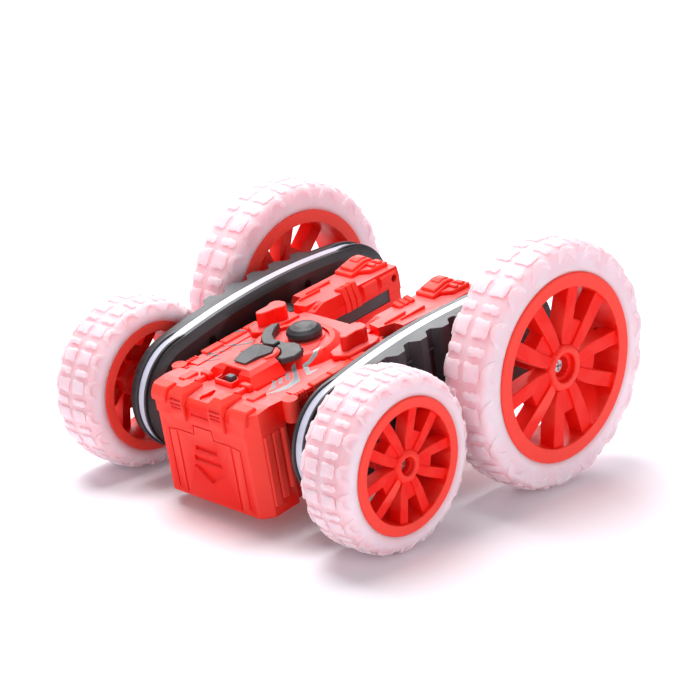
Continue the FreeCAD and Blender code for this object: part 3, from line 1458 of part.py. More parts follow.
def build_axle_and_screw(wheel):
    """Steel axle from the arm's inner wall to the hub, and the screw that holds the wheel on."""
    end_height = -dim.bore_depth
    start = dim.arm_inside + 0.3 - wheel.outside
    axle = rod(f"{wheel.end}_axle_bar", "w", (0, 0), dim.axle_radius, start, end_height)
    thread = rod(f"{wheel.end}_axle_thread", "w", (0, 0), 0.9, end_height - 6, end_height + 1)
    wheel.finish_pair(cut(f"{wheel.end}_axle_cut", axle, [thread]), "axle")
    head = rod(f"{wheel.end}_screw_head", "w", (0, 0), 2.6, end_height, end_height + 1.7)
    shank = rod(f"{wheel.end}_screw_shank", "w", (0, 0), 0.9, end_height - 5.6, end_height)
    blank = fuse(f"{wheel.end}_screw_blank", [head, shank])
    slots = []
    for tag, (x, y) in (("slot", (2.0, 0.35)), ("cross", (0.35, 2.0))):
        slots.append(block(f"{wheel.end}_screw_{tag}", (-x, x), (-y, y), (end_height + 0.8, end_height + 3)))
    wheel.finish_pair(cut(f"{wheel.end}_screw_cut", blank, slots), "wheel_screw")


# ---------------------------------------------------------------- build and write

build_lower_shell()
build_battery_door()
build_case_screws()
build_upper_shell()
build_latches()
build_driver()
build_electronics()
build_tail_inlays()
build_inner_shell()
build_outer_cover()
build_strip_and_leds()
build_motor()
build_gears()
build_pins_and_screws()
for end_name in ("front", "rear"):
    one_wheel = Wheel(end_name)
    build_rim(one_wheel)
    build_tyre(one_wheel)
    build_axle_and_screw(one_wheel)
doc.recompute()

for item in doc.Objects:
    if "Invalid" in item.State or "Error" in item.State:
        raise RuntimeError(f"{item.Name} ({item.Label}) failed to build: {item.State}")
for item in sub_parts:
    if item.Shape.isNull() or not item.Shape.isValid():
        raise RuntimeError(f"{item.Label} has no valid shape")

os.makedirs("parts", exist_ok=True)
for item in sub_parts:
    item.Shape.exportStep(f"parts/{item.Label}.step")
    print(f"{item.Label}: {item.Shape.Volume:.1f} mm3, {len(item.Shape.Solids)} solids")
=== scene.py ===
import json
import math

import bmesh
import bpy
from mathutils import Matrix, Vector
from mathutils.bvhtree import BVHTree


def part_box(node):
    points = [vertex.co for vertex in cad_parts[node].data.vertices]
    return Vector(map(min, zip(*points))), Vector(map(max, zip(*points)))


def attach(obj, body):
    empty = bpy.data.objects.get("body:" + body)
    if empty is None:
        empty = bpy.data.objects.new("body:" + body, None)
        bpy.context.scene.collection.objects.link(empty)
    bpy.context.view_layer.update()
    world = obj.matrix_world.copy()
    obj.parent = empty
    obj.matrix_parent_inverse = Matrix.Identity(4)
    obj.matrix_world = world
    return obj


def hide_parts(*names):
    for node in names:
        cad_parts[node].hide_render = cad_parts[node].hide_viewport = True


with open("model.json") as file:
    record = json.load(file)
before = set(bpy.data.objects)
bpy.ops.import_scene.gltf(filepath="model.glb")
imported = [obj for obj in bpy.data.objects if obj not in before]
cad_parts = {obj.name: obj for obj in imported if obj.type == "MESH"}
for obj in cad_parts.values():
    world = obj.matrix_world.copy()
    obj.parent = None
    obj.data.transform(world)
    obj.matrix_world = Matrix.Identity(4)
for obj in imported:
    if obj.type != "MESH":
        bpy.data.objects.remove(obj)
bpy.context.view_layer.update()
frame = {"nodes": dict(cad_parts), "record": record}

MM = 0.001

# The body and the arms lie in a frame tilted nose down: x across, u rearwards, w upwards.
TILT = math.atan2(16.0, 95.0)
MID_Y, MID_Z = -8.0, 46.0


def level(x, u, w):
    """Point of the tilted frame, in millimetres, as a scene position."""
    y = MID_Y + u * math.cos(TILT) - w * math.sin(TILT)
    z = MID_Z + u * math.sin(TILT) + w * math.cos(TILT)
    return Vector((x, y, z)) * MM


# ---------------------------------------------------------------- materials

# Places of a mix node's colour sockets, which share their names with its other kinds.
MIX_FACTOR, MIX_FIRST, MIX_SECOND = 0, 6, 7
MIX_COLOUR = 2


class Shader:
    """A principled material with short calls for its nodes."""

    def __init__(self, name):
        self.material = bpy.data.materials.new(name)
        self.material.use_nodes = True
        self.tree = self.material.node_tree
        self.bsdf = self.tree.nodes["Principled BSDF"]
        self.where = self.node("ShaderNodeTexCoord").outputs["Object"]

    def node(self, kind, values=None, **settings):
        """New node with its properties and unlinked inputs set."""
        made = self.tree.nodes.new(kind)
        for key, value in settings.items():
            setattr(made, key, value)
        for key, value in (values or {}).items():
            made.inputs[key].default_value = value
        return made

    def link(self, source, target):
        self.tree.links.new(source, target)

    def set(self, **values):
        """Fixed numbers and colours on the shader's inputs, named with _ for a space."""
        for key, value in values.items():
            self.bsdf.inputs[key.replace("_", " ")].default_value = value

    def noise(self, scale, detail, rough=0.5, stretch=None):
        """Noise factor at a scale per metre, with each axis scaled on its own if asked."""
        settings = {"Scale": scale, "Detail": detail, "Roughness": rough}
        made = self.node("ShaderNodeTexNoise", settings)
        where = self.where
        if stretch:
            mapping = self.node("ShaderNodeMapping", {"Scale": stretch})
            self.link(where, mapping.inputs["Vector"])
            where = mapping.outputs["Vector"]
        self.link(where, made.inputs["Vector"])
        return made.outputs["Fac"]

    def ramp(self, factor, stops):
        """Colour or grey ramp over a factor, between two stops."""
        made = self.node("ShaderNodeValToRGB")
        for element, (place, colour) in zip(made.color_ramp.elements, stops):
            element.position = place
            if isinstance(colour, (int, float)):
                colour = (colour, colour, colour)
            element.color = (*colour, 1.0)
        self.link(factor, made.inputs["Fac"])
        return made.outputs["Color"]

    def mix(self, factor, first, second):
        """Mix of two colours by a factor; each side is a socket or a colour."""
        made = self.node("ShaderNodeMix", data_type="RGBA")
        self.link(factor, made.inputs[MIX_FACTOR])
        for side, place in ((first, MIX_FIRST), (second, MIX_SECOND)):
            if isinstance(side, bpy.types.NodeSocket):
                self.link(side, made.inputs[place])
            else:
                made.inputs[place].default_value = (*side, 1.0)
        return made.outputs[MIX_COLOUR]

    def colour(self, socket):
        self.link(socket, self.bsdf.inputs["Base Color"])

    def roughness(self, socket):
        self.link(socket, self.bsdf.inputs["Roughness"])

    def bump(self, height, distance, strength, below=None):
        """Bump from a height factor, laid over another normal if given."""
        made = self.node("ShaderNodeBump", {"Strength": strength, "Distance": distance})
        self.link(height, made.inputs["Height"])
        if below:
            self.link(below, made.inputs["Normal"])
        self.link(made.outputs["Normal"], self.bsdf.inputs["Normal"])
        return made.outputs["Normal"]

    def edges(self):
        """Factor that is high along convex edges, where the painted edge highlight goes."""
        geometry = self.node("ShaderNodeNewGeometry")
        return self.ramp(geometry.outputs["Pointiness"], [(0.49, 0.0), (0.56, 1.0)])

    def top_highlight_mask(self):
        """Factor that is high on faces that look up, where the painted top highlight goes."""
        geometry = self.node("ShaderNodeNewGeometry")
        parts = self.node("ShaderNodeSeparateXYZ")
        self.link(geometry.outputs["Normal"], parts.inputs[0])
        return self.ramp(parts.outputs["Z"], [(0.72, 0.0), (0.97, 1.0)])


# Red plastic; its edge colour is a painted highlight along convex edges.
RED = {
    "deep": (0.90, 0.010, 0.006),
    "light": (0.95, 0.016, 0.009),
    "edge_highlight": (1.0, 0.07, 0.05),
    "gloss": (0.30, 0.40),
    "grain": 1900,
    "grain_depth": 0.00003,
    "shine": 0.1,
}
# Pale pink painted on upward faces of the red plastic: a painted highlight.
PAINTED_TOP_HIGHLIGHT = (1.0, 0.155, 0.15)

# Depth in metres of the slow ripple in every moulded face.
RIPPLE_DEPTH = 0.00006


def moulded(name, deep, light, edge_highlight, gloss, grain, grain_depth, shine=0.5, painted_top_highlight=None):
    """Moulded plastic: slow colour drift, a painted highlight along convex edges, spark grain, and a
    painted highlight on upward faces if given.
    """
    s = Shader(name)
    drift = s.ramp(s.noise(38, 3), [(0.3, deep), (0.7, light)])
    # If given, a painted highlight on upward faces is mixed into the colour.
    if painted_top_highlight:
        drift = s.mix(s.top_highlight_mask(), drift, painted_top_highlight)
    # A painted highlight along convex edges is mixed into the colour.
    s.colour(s.mix(s.edges(), drift, edge_highlight))
    s.roughness(s.ramp(s.noise(120, 4, 0.6), [(0.3, gloss[0]), (0.72, gloss[1])]))
    ripple = s.bump(s.noise(210, 1), RIPPLE_DEPTH, 0.35)
    s.bump(s.noise(grain, 2, 0.7), grain_depth, 0.5, ripple)
    s.set(IOR=1.5, Specular_IOR_Level=shine)
    return s


def make_tyre_material():
    """Milky soft rubber: light goes into it, and it is redder where its attribute is high, which holds
    painted red light from the rim seen through the rubber and painted shade between the lugs.
    """
    s = Shader("milky_rubber")
    mottled = s.ramp(s.noise(95, 3), [(0.3, (0.93, 0.66, 0.72)), (0.7, (0.955, 0.76, 0.82))])
    # Attribute with painted red light from the rim and painted shade between the lugs.
    painted_red_and_shade = s.node("ShaderNodeAttribute", attribute_name="painted_red_and_shade")
    s.colour(s.mix(painted_red_and_shade.outputs["Fac"], mottled, (0.88, 0.40, 0.42)))
    s.roughness(s.ramp(s.noise(260, 4, 0.6), [(0.3, 0.38), (0.7, 0.52)]))
    ripple = s.bump(s.noise(170, 2), 0.00012, 0.4)
    s.bump(s.noise(2300, 2, 0.6), 0.00003, 0.5, ripple)
    s.set(
        Subsurface_Weight=0.9,
        Subsurface_Radius=(1.0, 0.6, 0.63),
        Subsurface_Scale=0.010,
        Sheen_Weight=0.05,
        IOR=1.45,
    )
    return s


def make_clear_material():
    """Clear moulded strip with fine flow lines and a faint painted glow."""
    s = Shader("clear_strip")
    s.colour(s.ramp(s.noise(60, 2), [(0.3, (0.74, 0.74, 0.86)), (0.7, (0.86, 0.86, 0.95))]))
    s.roughness(s.ramp(s.noise(90, 3), [(0.3, 0.12), (0.7, 0.24)]))
    s.bump(s.noise(160, 1, 0.5, (3, 1, 1)), 0.00005, 0.3)
    s.set(
        Transmission_Weight=0.38,
        IOR=1.47,
        # The faint emission is a painted glow.
        Emission_Color=(0.82, 0.82, 1.0, 1.0),
        Emission_Strength=0.1,
    )
    return s


def make_metal(name, colour, rough):
    """Turned or plated metal with fine tool marks."""
    s = Shader(name)
    dark = tuple(0.82 * c for c in colour)
    s.colour(s.ramp(s.noise(900, 3, 0.6), [(0.3, dark), (0.7, colour)]))
    s.roughness(s.ramp(s.noise(1500, 3, 0.6), [(0.3, rough - 0.08), (0.7, rough + 0.1)]))
    s.bump(s.noise(2600, 2, 0.6), 0.00002, 0.4)
    s.set(Metallic=1.0)
    return s


def make_board():
    """Green circuit board with a faint weave."""
    s = Shader("circuit_board")
    s.colour(s.ramp(s.noise(700, 2), [(0.35, (0.012, 0.10, 0.035)), (0.65, (0.02, 0.16, 0.05))]))
    s.roughness(s.ramp(s.noise(500, 3), [(0.3, 0.35), (0.7, 0.5)]))
    s.bump(s.noise(1800, 2), 0.00003, 0.5)
    return s


# red_plastic carries the painted top highlight; rim_red is the same plastic without it.
red = moulded("red_plastic", painted_top_highlight=PAINTED_TOP_HIGHLIGHT, **RED)
rim_red = moulded("rim_red", **RED)
# The edge colour of each plastic below is a painted highlight along convex edges.
black = moulded(
    "black_plastic",
    deep=(0.007, 0.006, 0.007),
    light=(0.012, 0.010, 0.011),
    edge_highlight=(0.04, 0.04, 0.045),
    gloss=(0.40, 0.52),
    grain=2600,
    grain_depth=0.00005,
)
nylon = moulded(
    "gear_nylon",
    deep=(0.74, 0.73, 0.68),
    light=(0.82, 0.81, 0.77),
    edge_highlight=(0.9, 0.9, 0.88),
    gloss=(0.35, 0.45),
    grain=1500,
    grain_depth=0.00003,
)
wrap = moulded(
    "battery_wrap",
    deep=(0.02, 0.05, 0.22),
    light=(0.03, 0.08, 0.30),
    edge_highlight=(0.08, 0.14, 0.4),
    gloss=(0.3, 0.4),
    grain=900,
    grain_depth=0.00003,
)
decal = moulded(
    "grey_decal",
    deep=(0.19, 0.235, 0.25),
    light=(0.235, 0.285, 0.30),
    edge_highlight=(0.3, 0.34, 0.36),
    gloss=(0.28, 0.36),
    grain=1200,
    grain_depth=0.00002,
)
dark_decal = moulded(
    "dark_decal",
    deep=(0.045, 0.05, 0.055),
    light=(0.06, 0.065, 0.07),
    edge_highlight=(0.1, 0.1, 0.11),
    gloss=(0.3, 0.4),
    grain=1200,
    grain_depth=0.00002,
)
rubber = make_tyre_material()
clear = make_clear_material()
steel = make_metal("axle_steel", (0.72, 0.72, 0.72), 0.28)
zinc = make_metal("screw_zinc", (0.62, 0.62, 0.64), 0.32)
black_oxide = make_metal("black_oxide", (0.05, 0.05, 0.055), 0.45)
board = make_board()

FINISHES = {
    "red_plastic": red,
    "black_plastic": black,
    "milky_tyre": rubber,
    "clear_strip": clear,
    "circuit_board": board,
    "battery_wrap": wrap,
    "motor_steel": steel,
    "screw_steel": zinc,
    "black_screw": black_oxide,
    "gear_nylon": nylon,
}


def paint(item, shader):
    """Gives every material slot of an object one shader."""
    if not item.material_slots:
        item.data.materials.append(shader.material)
    for held in item.material_slots:
        held.material = shader.material


for row in frame["record"]["subparts"]:
    finish = rim_red if row["node"].endswith("_rim") else FINISHES[row["material_slot"]]
    paint(frame["nodes"][row["node"]], finish)


# ---------------------------------------------------------------- mesh helpers


def scene_object(name, data):
    """Object in the scene that holds a mesh, light or camera."""
    item = bpy.data.objects.new(name, data)
    bpy.context.collection.objects.link(item)
    return item


def mesh_object(name, mesh):
    """Object in the scene from a bmesh, which is freed."""
    data = bpy.data.meshes.new(name)
    mesh.to_mesh(data)
    mesh.free()
    return scene_object(name, data)


def new_object(name, mesh, shader, body):
    """Object from a bmesh, painted and riding on a body."""
    item = mesh_object(name, mesh)
    paint(item, shader)
    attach(item, body)
    return item


def smooth(item, degrees):
    """Smooth shading that keeps edges sharper than the angle."""
    limit = math.radians(degrees)
    mesh = bmesh.new()
    mesh.from_mesh(item.data)
    for face in mesh.faces:
        face.smooth = True
    for edge in mesh.edges:
        edge.smooth = not edge.is_manifold or edge.calc_face_angle(0.0) < limit
    mesh.to_mesh(item.data)
    mesh.free()


def apply(item):
    """Applies an object's modifiers."""
    graph = bpy.context.evaluated_depsgraph_get()
    baked = bpy.data.meshes.new_from_object(item.evaluated_get(graph))
    item.modifiers.clear()
    item.data = baked


def flat_outline(points):
    """Flat bmesh of one face; its normal is set, so that a concave outline fills rightly."""
    flat = bmesh.new()
    flat.faces.new([flat.verts.new((x, y, 0)) for x, y in points])
    flat.normal_update()
    return flat


def halve_edges(flat, limit, inside_only=False):
    """Cuts in two each edge longer than the limit, the outline's own edges left out if asked."""
    long_edges = [
        edge
        for edge in flat.edges
        if edge.calc_length() > limit and not (inside_only and edge.is_boundary)
    ]
    bmesh.ops.subdivide_edges(flat, edges=long_edges, cuts=1)


def add_plate(mesh, flat, tops, feet):
    """Closed plate over a flat bmesh, which is freed: its points' places above and below."""
    high = [mesh.verts.new(point) for point in tops]
    low = [mesh.verts.new(point) for point in feet]
    for face in flat.faces:
        loop = [vertex.index for vertex in face.verts]
        mesh.faces.new([high[i] for i in loop])
        mesh.faces.new([low[i] for i in reversed(loop)])
    for edge in flat.edges:
        if edge.is_boundary:
            i, j = edge.verts[0].index, edge.verts[1].index
            mesh.faces.new((high[i], high[j], low[j], low[i]))
    flat.free()


# ---------------------------------------------------------------- tyres

# Radius of the outer bead, radius over the tread, width and radius of the rim's seat, in mm.
TYRE_SIZES = {"front": (28.6, 38.0, 26.9, 25.2), "rear": (40.9, 54.0, 23.9, 37.5)}
TURNS = 216
SMOOTH_ANGLE = 62

# Inner side of a tyre: where its bead's slope starts and ends, its rise, and its gap to the rim.
BEAD_START, BEAD_END = 2.6, 5.6
BEAD_RISE = 0.9
SEAT_GAP = 0.08

# Lugs: sizes in mm, angles in degrees.
LUG_PITCHES = 18
FIRST_PITCH = 11.0
LUG_HEIGHT = 1.05
LUG_SINK = 0.45
LUG_INSET = 0.42
OUTER_DROP, INNER_DROP = 0.32, 0.05
OUTLINE_EDGE, INSIDE_EDGE = 3.0, 2.4

# A lug starts at part of its height by the bead and gains the rest over a run towards the tread.
LOW_SHARE, LOW_RUN, RISE_RUN = 0.35, 4.9, 5.0

# The outlines are drawn for this run from the bead to the tread's middle; each half stops short of it.
DRAWN_RUN = 18.2
MIDDLE_GAP = 0.5

# Lug outlines for one pitch on a half of the tyre: (run from the bead in mm, degrees round).
CLAW = [
    (10.2, -1.6), (10.2, 1.6), (8.8, 4.8), (7.4, 6.0), (4.9, 7.4), (4.9, 5.2), (6.4, 3.7),
    (7.3, 2.5), (7.7, 0.9), (7.7, -0.9), (7.3, -2.5), (6.4, -3.7), (4.9, -5.2), (4.9, -7.4),
    (7.4, -6.0), (8.8, -4.8),
]
BIG_BLOCK = [
    (10.9, -2.6), (11.7, -4.3), (13.0, -3.9), (16.8, -4.6), (17.7, -3.3), (17.2, -1.6),
    (17.2, 1.6), (17.7, 3.3), (16.8, 4.6), (13.0, 3.9), (11.7, 4.3), (10.9, 2.6),
]
SMALL_BLOCK = [
    (10.6, 7.7), (12.0, 7.2), (13.2, 8.0), (14.4, 7.4), (16.0, 7.2), (17.0, 8.3), (17.0, 10.6),
    (15.8, 11.6), (14.4, 11.0), (13.2, 11.8), (12.0, 11.2), (10.6, 11.4), (9.9, 9.6),
]


class TyreSurface:
    """Smooth cross-section of a tyre, walked by distance from the outer bead."""

    def __init__(self, lip, crown, width):
        self.lip, self.crown, self.width = lip, crown, width
        side = [
            (0.75, lip + 0.2),
            (0.25, lip + 1.6),
            (0.35, lip + 3.4),
            (1.3, crown - 3.9),
            (3.3, crown - 2.05),
            (6.4, crown - 1.25),
            (10.0, crown - 1.0),
        ]
        middle = [(width / 2, crown - 1.0)]
        back = [(width - a, r) for a, r in reversed(side)]
        self.points = self.refine(side + middle + back)
        self.runs = [0.0]
        for (a, b), (c, d) in zip(self.points, self.points[1:]):
            self.runs.append(self.runs[-1] + math.hypot(c - a, d - b))
        self.length = self.runs[-1]

    @staticmethod
    def refine(points, steps=5):
        """Catmull-Rom curve through the points."""
        padded = [points[0]] + points + [points[-1]]
        out = []
        for i in range(1, len(padded) - 2):
            p, q, r, s = (Vector(padded[i + k]) for k in (-1, 0, 1, 2))
            for k in range(steps):
                t = k / steps
                square = (2 * p - 5 * q + 4 * r - s) * t * t
                cube = (3 * q - p - 3 * r + s) * t ** 3
                out.append(tuple(0.5 * (2 * q + (r - p) * t + square + cube)))
        out.append(points[-1])
        return out

    def at(self, run):
        """(inward distance, radius) and outward normal at a run from the outer bead."""
        run = min(max(run, 0.0), self.length - 1e-6)
        i = next(k for k in range(len(self.runs) - 1) if self.runs[k + 1] >= run)
        share = (run - self.runs[i]) / (self.runs[i + 1] - self.runs[i])
        a, b = Vector(self.points[i]), Vector(self.points[i + 1])
        along = (b - a).normalized()
        return a.lerp(b, share), Vector((-along.y, along.x))


def clamp(value):
    """A value held between 0 and 1."""
    return min(max(value, 0.0), 1.0)


class Tyre:
    """Sizes of one tyre, and its place on the car from its CAD rim."""

    def __init__(self, side, end):
        self.lip, self.crown, self.width, self.seat = TYRE_SIZES[end]
        self.surface = TyreSurface(self.lip, self.crown, self.width)
        self.stretch = (self.surface.length / 2 - MIDDLE_GAP) / DRAWN_RUN
        low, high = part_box(f"{side}_{end}_rim")
        self.axle_y, self.axle_z = (low[1] + high[1]) / 2 / MM, (low[2] + high[2]) / 2 / MM
        self.out = 1 if side == "left" else -1
        self.face = (high if side == "left" else low)[0] / MM

    def place(self, inward, radius, angle):
        """Scene position from the distance in from the wheel's face, the radius and the angle."""
        x = self.face - self.out * inward
        y = self.axle_y - radius * math.cos(angle)
        z = self.axle_z + radius * math.sin(angle)
        return Vector((x, y, z)) * MM

    def carcass(self):
        """Smooth ring of the tyre's closed cross-section."""
        inner = [
            (self.width - BEAD_START, self.seat + BEAD_RISE),
            (self.width - BEAD_END, self.seat + SEAT_GAP),
            (BEAD_END, self.seat + SEAT_GAP),
            (BEAD_START, self.seat + BEAD_RISE),
        ]
        section = self.surface.points + inner
        mesh = bmesh.new()
        rings = [
            [mesh.verts.new(self.place(a, r, math.tau * k / TURNS)) for a, r in section]
            for k in range(TURNS)
        ]
        for k in range(TURNS):
            ring, following = rings[k], rings[(k + 1) % TURNS]
            for i in range(len(section)):
                j = (i + 1) % len(section)
                mesh.faces.new((ring[i], ring[j], following[j], following[i]))
        bmesh.ops.recalc_face_normals(mesh, faces=mesh.faces)
        return mesh

    def lugs(self):
        """Every lug of both halves, each a closed plate."""
        mesh = bmesh.new()
        for mirrored in (False, True):
            for pitch in range(LUG_PITCHES):
                centre = FIRST_PITCH + 360.0 / LUG_PITCHES * pitch
                for outline in (CLAW, BIG_BLOCK, SMALL_BLOCK):
                    self.add_lug(mesh, outline, centre, mirrored)
        bmesh.ops.recalc_face_normals(mesh, faces=mesh.faces)
        return mesh

    def add_lug(self, mesh, outline, centre, mirrored):
        """One lug: a plate that follows the surface, its top edge chamfered, its foot sunk in."""
        flat = flat_outline([(run * self.stretch, degrees) for run, degrees in outline])
        halve_edges(flat, OUTLINE_EDGE)
        bmesh.ops.inset_region(flat, faces=flat.faces[:], thickness=LUG_INSET, use_even_offset=True)
        bmesh.ops.triangulate(flat, faces=[face for face in flat.faces if len(face.verts) > 4])
        halve_edges(flat, INSIDE_EDGE, inside_only=True)
        bmesh.ops.triangulate(flat, faces=flat.faces[:])
        flat.verts.index_update()

        def lift(vertex, height):
            run = self.surface.length - vertex.co.x if mirrored else vertex.co.x
            (inward, radius), normal = self.surface.at(run)
            angle = math.radians(centre + vertex.co.y)
            if height > 0:
                past_low = max(vertex.co.x / self.stretch - LOW_RUN, 0.0)
                height *= min(1.0, LOW_SHARE + past_low / RISE_RUN)
            return self.place(inward + normal.x * height, radius + normal.y * height, angle)

        tops = [
            lift(v, LUG_HEIGHT - (OUTER_DROP if v.is_boundary else INNER_DROP)) for v in flat.verts
        ]
        feet = [lift(v, -LUG_SINK) for v in flat.verts]
        add_plate(mesh, flat, tops, feet)

    def painted_red_and_shade_at(self, point):
        """How much painted red light from the rim, seen through the rubber, goes on at a point: most
        at the bead, some in the tread, with painted shade low between the lugs.
        """
        radius = math.hypot(point.y / MM - self.axle_y, point.z / MM - self.axle_z)
        # near_bead and far_out lay on painted red light from the rim; low_tread adds more at the base
        # of the tread, as painted shade between the lugs.
        near_bead = 1.0 - clamp((radius - self.lip) / 3.2)
        low_tread = 1.0 - clamp((radius - (self.crown - 1.15)) / 0.5)
        far_out = clamp((radius - (self.crown - 5.0)) / 3.0)
        return 0.55 * near_bead ** 1.5 + far_out * (0.12 + 0.26 * low_tread)


def build_tyre(side, end):
    """Tyre carcass with its lugs joined on, seated on the rim between the two lips."""
    shape = Tyre(side, end)
    body = f"{side}_{end}_wheel"
    tyre = new_object(f"{side}_{end}_tyre_tread", shape.carcass(), rubber, body)

    tool = mesh_object("lugs", shape.lugs())
    union = tyre.modifiers.new("lugs", "BOOLEAN")
    union.operation, union.solver, union.object = "UNION", "MANIFOLD", tool
    apply(tyre)
    bpy.data.objects.remove(tool)
    smooth(tyre, SMOOTH_ANGLE)

    # Painted red light from the rim and painted shade between the lugs, stored on each point.
    layer = tyre.data.attributes.new("painted_red_and_shade", "FLOAT", "POINT")
    for vertex in tyre.data.vertices:
        layer.data[vertex.index].value = shape.painted_red_and_shade_at(vertex.co)
    paint(tyre, rubber)
    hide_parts(f"{side}_{end}_tyre")


for wheel_side in ("left", "right"):
    for wheel_end in ("front", "rear"):
        build_tyre(wheel_side, wheel_end)


# ---------------------------------------------------------------- decals

# Sizes in mm: the film's height over the shell and its foot's depth in it, the longest edge, and the
# most that a face may climb before it is left out.
FILM = 0.12
FILM_SINK = 0.05
MARK_EDGE = 0.9
MARK_CUTS = 3
STEEP = 0.8

# Heights in the tilted frame: the point the rays start from, and the deck, for a ray that misses.
RAY_START = 40
DECK_HEIGHT = 19.6

# Outlines in the tilted frame, (x, u).
NEAR_MARKS = [
    [
        (19.4, -58.0), (22.8, -53.5), (24.8, -48.5), (24.4, -41.5), (18.8, -37.2), (13.5, -33.0),
        (13.1, -35.2), (18.7, -39.6), (20.9, -42.5), (21.9, -46.0), (21.5, -49.8), (20.8, -53.7),
    ],
    [(18.5, -54.5), (19.5, -50.8), (16.1, -47.8), (14.7, -45.7), (14.5, -47.8), (17.5, -51.5)],
    [(18.6, -48.1), (18.8, -46.0), (16.4, -44.1), (14.4, -41.9), (14.0, -44.5), (15.8, -45.2)],
    [(18.4, -43.8), (20.0, -42.6), (17.0, -40.5), (14.6, -38.1), (14.1, -40.4), (15.9, -41.1)],
    [
        (16.2, -31.7), (17.0, -28.5), (16.5, -25.0), (14.4, -22.4), (14.3, -19.9), (14.8, -18.0),
        (16.7, -21.8), (17.9, -24.5), (18.2, -28.0), (17.9, -30.1), (22.0, -33.1), (23.1, -28.9),
        (23.8, -32.6), (23.3, -36.1), (18.6, -33.2),
    ],
]
FAR_MARKS = [
    [(-29.7, -44.8), (-30.1, -41.6), (-27.0, -37.9), (-24.8, -33.4), (-26.4, -37.6), (-28.6, -41.7)],
    [(-27.8, -43.8), (-27.3, -41.4), (-24.3, -38.6), (-26.3, -42.4)],
    [(-27.1, -47.2), (-25.4, -44.6), (-22.4, -42.7), (-25.4, -46.1)],
    [
        (-30.1, -34.8), (-28.4, -31.9), (-25.6, -28.3), (-23.3, -26.0), (-21.2, -19.9), (-18.2, -18.0),
        (-21.1, -22.4), (-21.7, -26.5), (-24.4, -29.0), (-26.9, -31.9),
    ],
    [
        (-34.1, -23.8), (-33.6, -20.9), (-30.5, -18.5), (-30.5, -14.2), (-28.9, -13.8),
        (-29.7, -19.4), (-32.0, -21.4),
    ],
]


def draped_marks(name, outlines, shader):
    """Thin printed film on the shell below its outlines."""
    shell = frame["nodes"]["upper_shell"]
    surface = BVHTree.FromObject(shell, bpy.context.evaluated_depsgraph_get())
    down = (level(0, 0, -1) - level(0, 0, 0)).normalized()
    mesh = bmesh.new()
    for outline in outlines:
        flat = flat_outline(outline)
        bmesh.ops.triangulate(flat, faces=flat.faces[:])
        for _ in range(MARK_CUTS):
            halve_edges(flat, MARK_EDGE)
            bmesh.ops.triangulate(flat, faces=flat.faces[:])
        flat.verts.index_update()
        feet = []
        for x, u, _ in (vertex.co for vertex in flat.verts):
            hit = surface.ray_cast(level(x, u, RAY_START), down)[0]
            feet.append(hit or level(x, u, DECK_HEIGHT))
        heights = [-(foot.dot(down)) for foot in feet]
        steep = []
        for face in flat.faces:
            levels = [heights[vertex.index] for vertex in face.verts]
            if max(levels) - min(levels) > STEEP * MM:
                steep.append(face)
        bmesh.ops.delete(flat, geom=steep, context="FACES_ONLY")
        high = [foot - down * FILM * MM for foot in feet]
        low = [foot + down * FILM_SINK * MM for foot in feet]
        add_plate(mesh, flat, high, low)
    bmesh.ops.recalc_face_normals(mesh, faces=mesh.faces)
    new_object(name, mesh, shader, "chassis")


draped_marks("near_marks", NEAR_MARKS, decal)
draped_marks("far_marks", FAR_MARKS, dark_decal)


# ---------------------------------------------------------------- stage, light and camera

LIGHT_AIM = Vector((0, 0, 0.04))


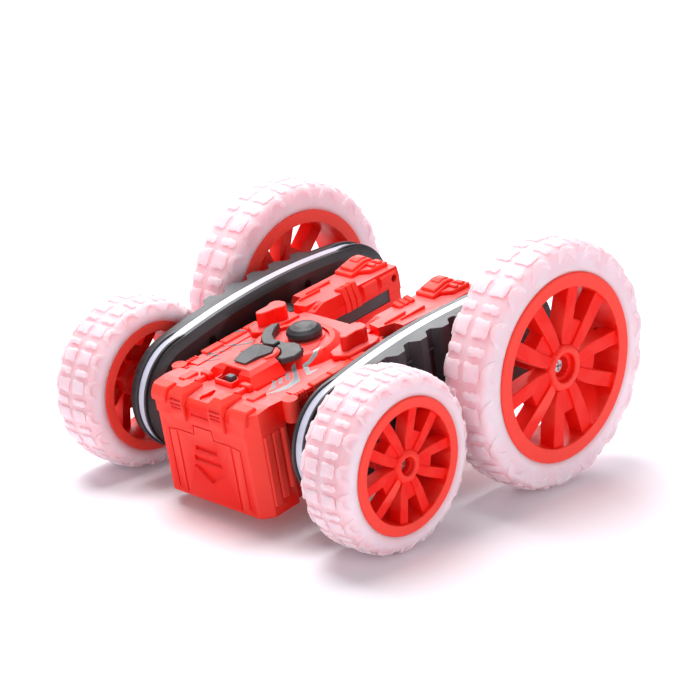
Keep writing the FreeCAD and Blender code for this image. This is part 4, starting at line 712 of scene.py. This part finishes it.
def build_stage():
    """Pale floor, turned to face the camera, that curves up behind the car."""
    half, front, depth, height = 6.0, -6.0, 4.0, 6.0
    sweep, sweep_steps = 1.5, 12
    section = [(front, 0.0), (depth - sweep, 0.0)]
    for i in range(1, sweep_steps + 1):
        angle = math.pi / 2 * i / sweep_steps
        section.append((depth - sweep + sweep * math.sin(angle), sweep * (1 - math.cos(angle))))
    section.append((depth, height))
    turn = Matrix.Rotation(math.radians(45), 4, "Z")
    mesh = bmesh.new()
    rows = [
        [mesh.verts.new(turn @ Vector((x, y, z))) for y, z in section] for x in (-half, half)
    ]
    for i in range(len(section) - 1):
        mesh.faces.new((rows[0][i], rows[1][i], rows[1][i + 1], rows[0][i + 1]))
    floor = mesh_object("floor", mesh)
    for face in floor.data.polygons:
        face.use_smooth = True
    s = Shader("floor")
    s.colour(s.ramp(s.noise(1.5, 2), [(0.3, (0.86, 0.845, 0.895)), (0.7, (0.89, 0.875, 0.92))]))
    s.set(Roughness=0.8, Emission_Color=(1.0, 0.99, 1.0, 1.0), Emission_Strength=0.05)
    s.bump(s.noise(400, 2), 0.00005, 0.2)
    paint(floor, s)


def softbox(name, place, size, power, colour=(1, 1, 1)):
    """Square area light aimed at the middle of the car."""
    light = bpy.data.lights.new(name, "AREA")
    light.energy, light.size, light.color = power, size, colour
    item = scene_object(name, light)
    item.location = place
    item.rotation_euler = (LIGHT_AIM - Vector(place)).to_track_quat("-Z", "Y").to_euler()


def build_lights():
    """Key overhead, a panel behind for the sheen on top, weak fills in front, and a soft sky."""
    softbox("key", (-0.30, 0.05, 1.2), 0.7, 17.0)
    softbox("front_fill", (0.35, -1.5, 0.45), 1.0, 3.0, (1.0, 0.99, 1.0))
    softbox("side_fill", (1.5, -0.1, 0.5), 1.0, 6.0, (1.0, 0.98, 0.99))
    softbox("back_panel", (-1.05, 0.82, 0.88), 0.9, 13.0)
    world = bpy.data.worlds.new("studio")
    world.use_nodes = True
    sky = world.node_tree.nodes["Background"]
    sky.inputs["Color"].default_value = (0.97, 0.95, 0.985, 1)
    sky.inputs["Strength"].default_value = 0.34
    bpy.context.scene.world = world


def build_camera():
    """Camera at the photograph's angle: high front left, a long lens and a slight roll."""
    azimuth, elevation, roll = (math.radians(v) for v in (45.28, 19.26, -1.86))
    distance, target = 1.06646, Vector((0, -0.0048, 0.040))
    flat = math.cos(elevation)
    back = Vector((math.sin(azimuth) * flat, -math.cos(azimuth) * flat, math.sin(elevation)))
    right = Vector((math.cos(azimuth), math.sin(azimuth), 0))
    up = back.cross(right)
    rolled_right = math.cos(roll) * right + math.sin(roll) * up
    rolled_up = math.cos(roll) * up - math.sin(roll) * right
    lens = bpy.data.cameras.new("camera")
    lens.sensor_width, lens.lens = 36.0, 127.37
    lens.shift_x, lens.shift_y = 0.0137, 0.0453
    item = scene_object("camera", lens)
    turn = Matrix((rolled_right, rolled_up, back)).transposed().to_4x4()
    item.matrix_world = Matrix.Translation(target + back * distance) @ turn
    bpy.context.scene.camera = item


build_stage()
build_lights()
build_camera()
bpy.context.scene.view_settings.view_transform = "Standard"
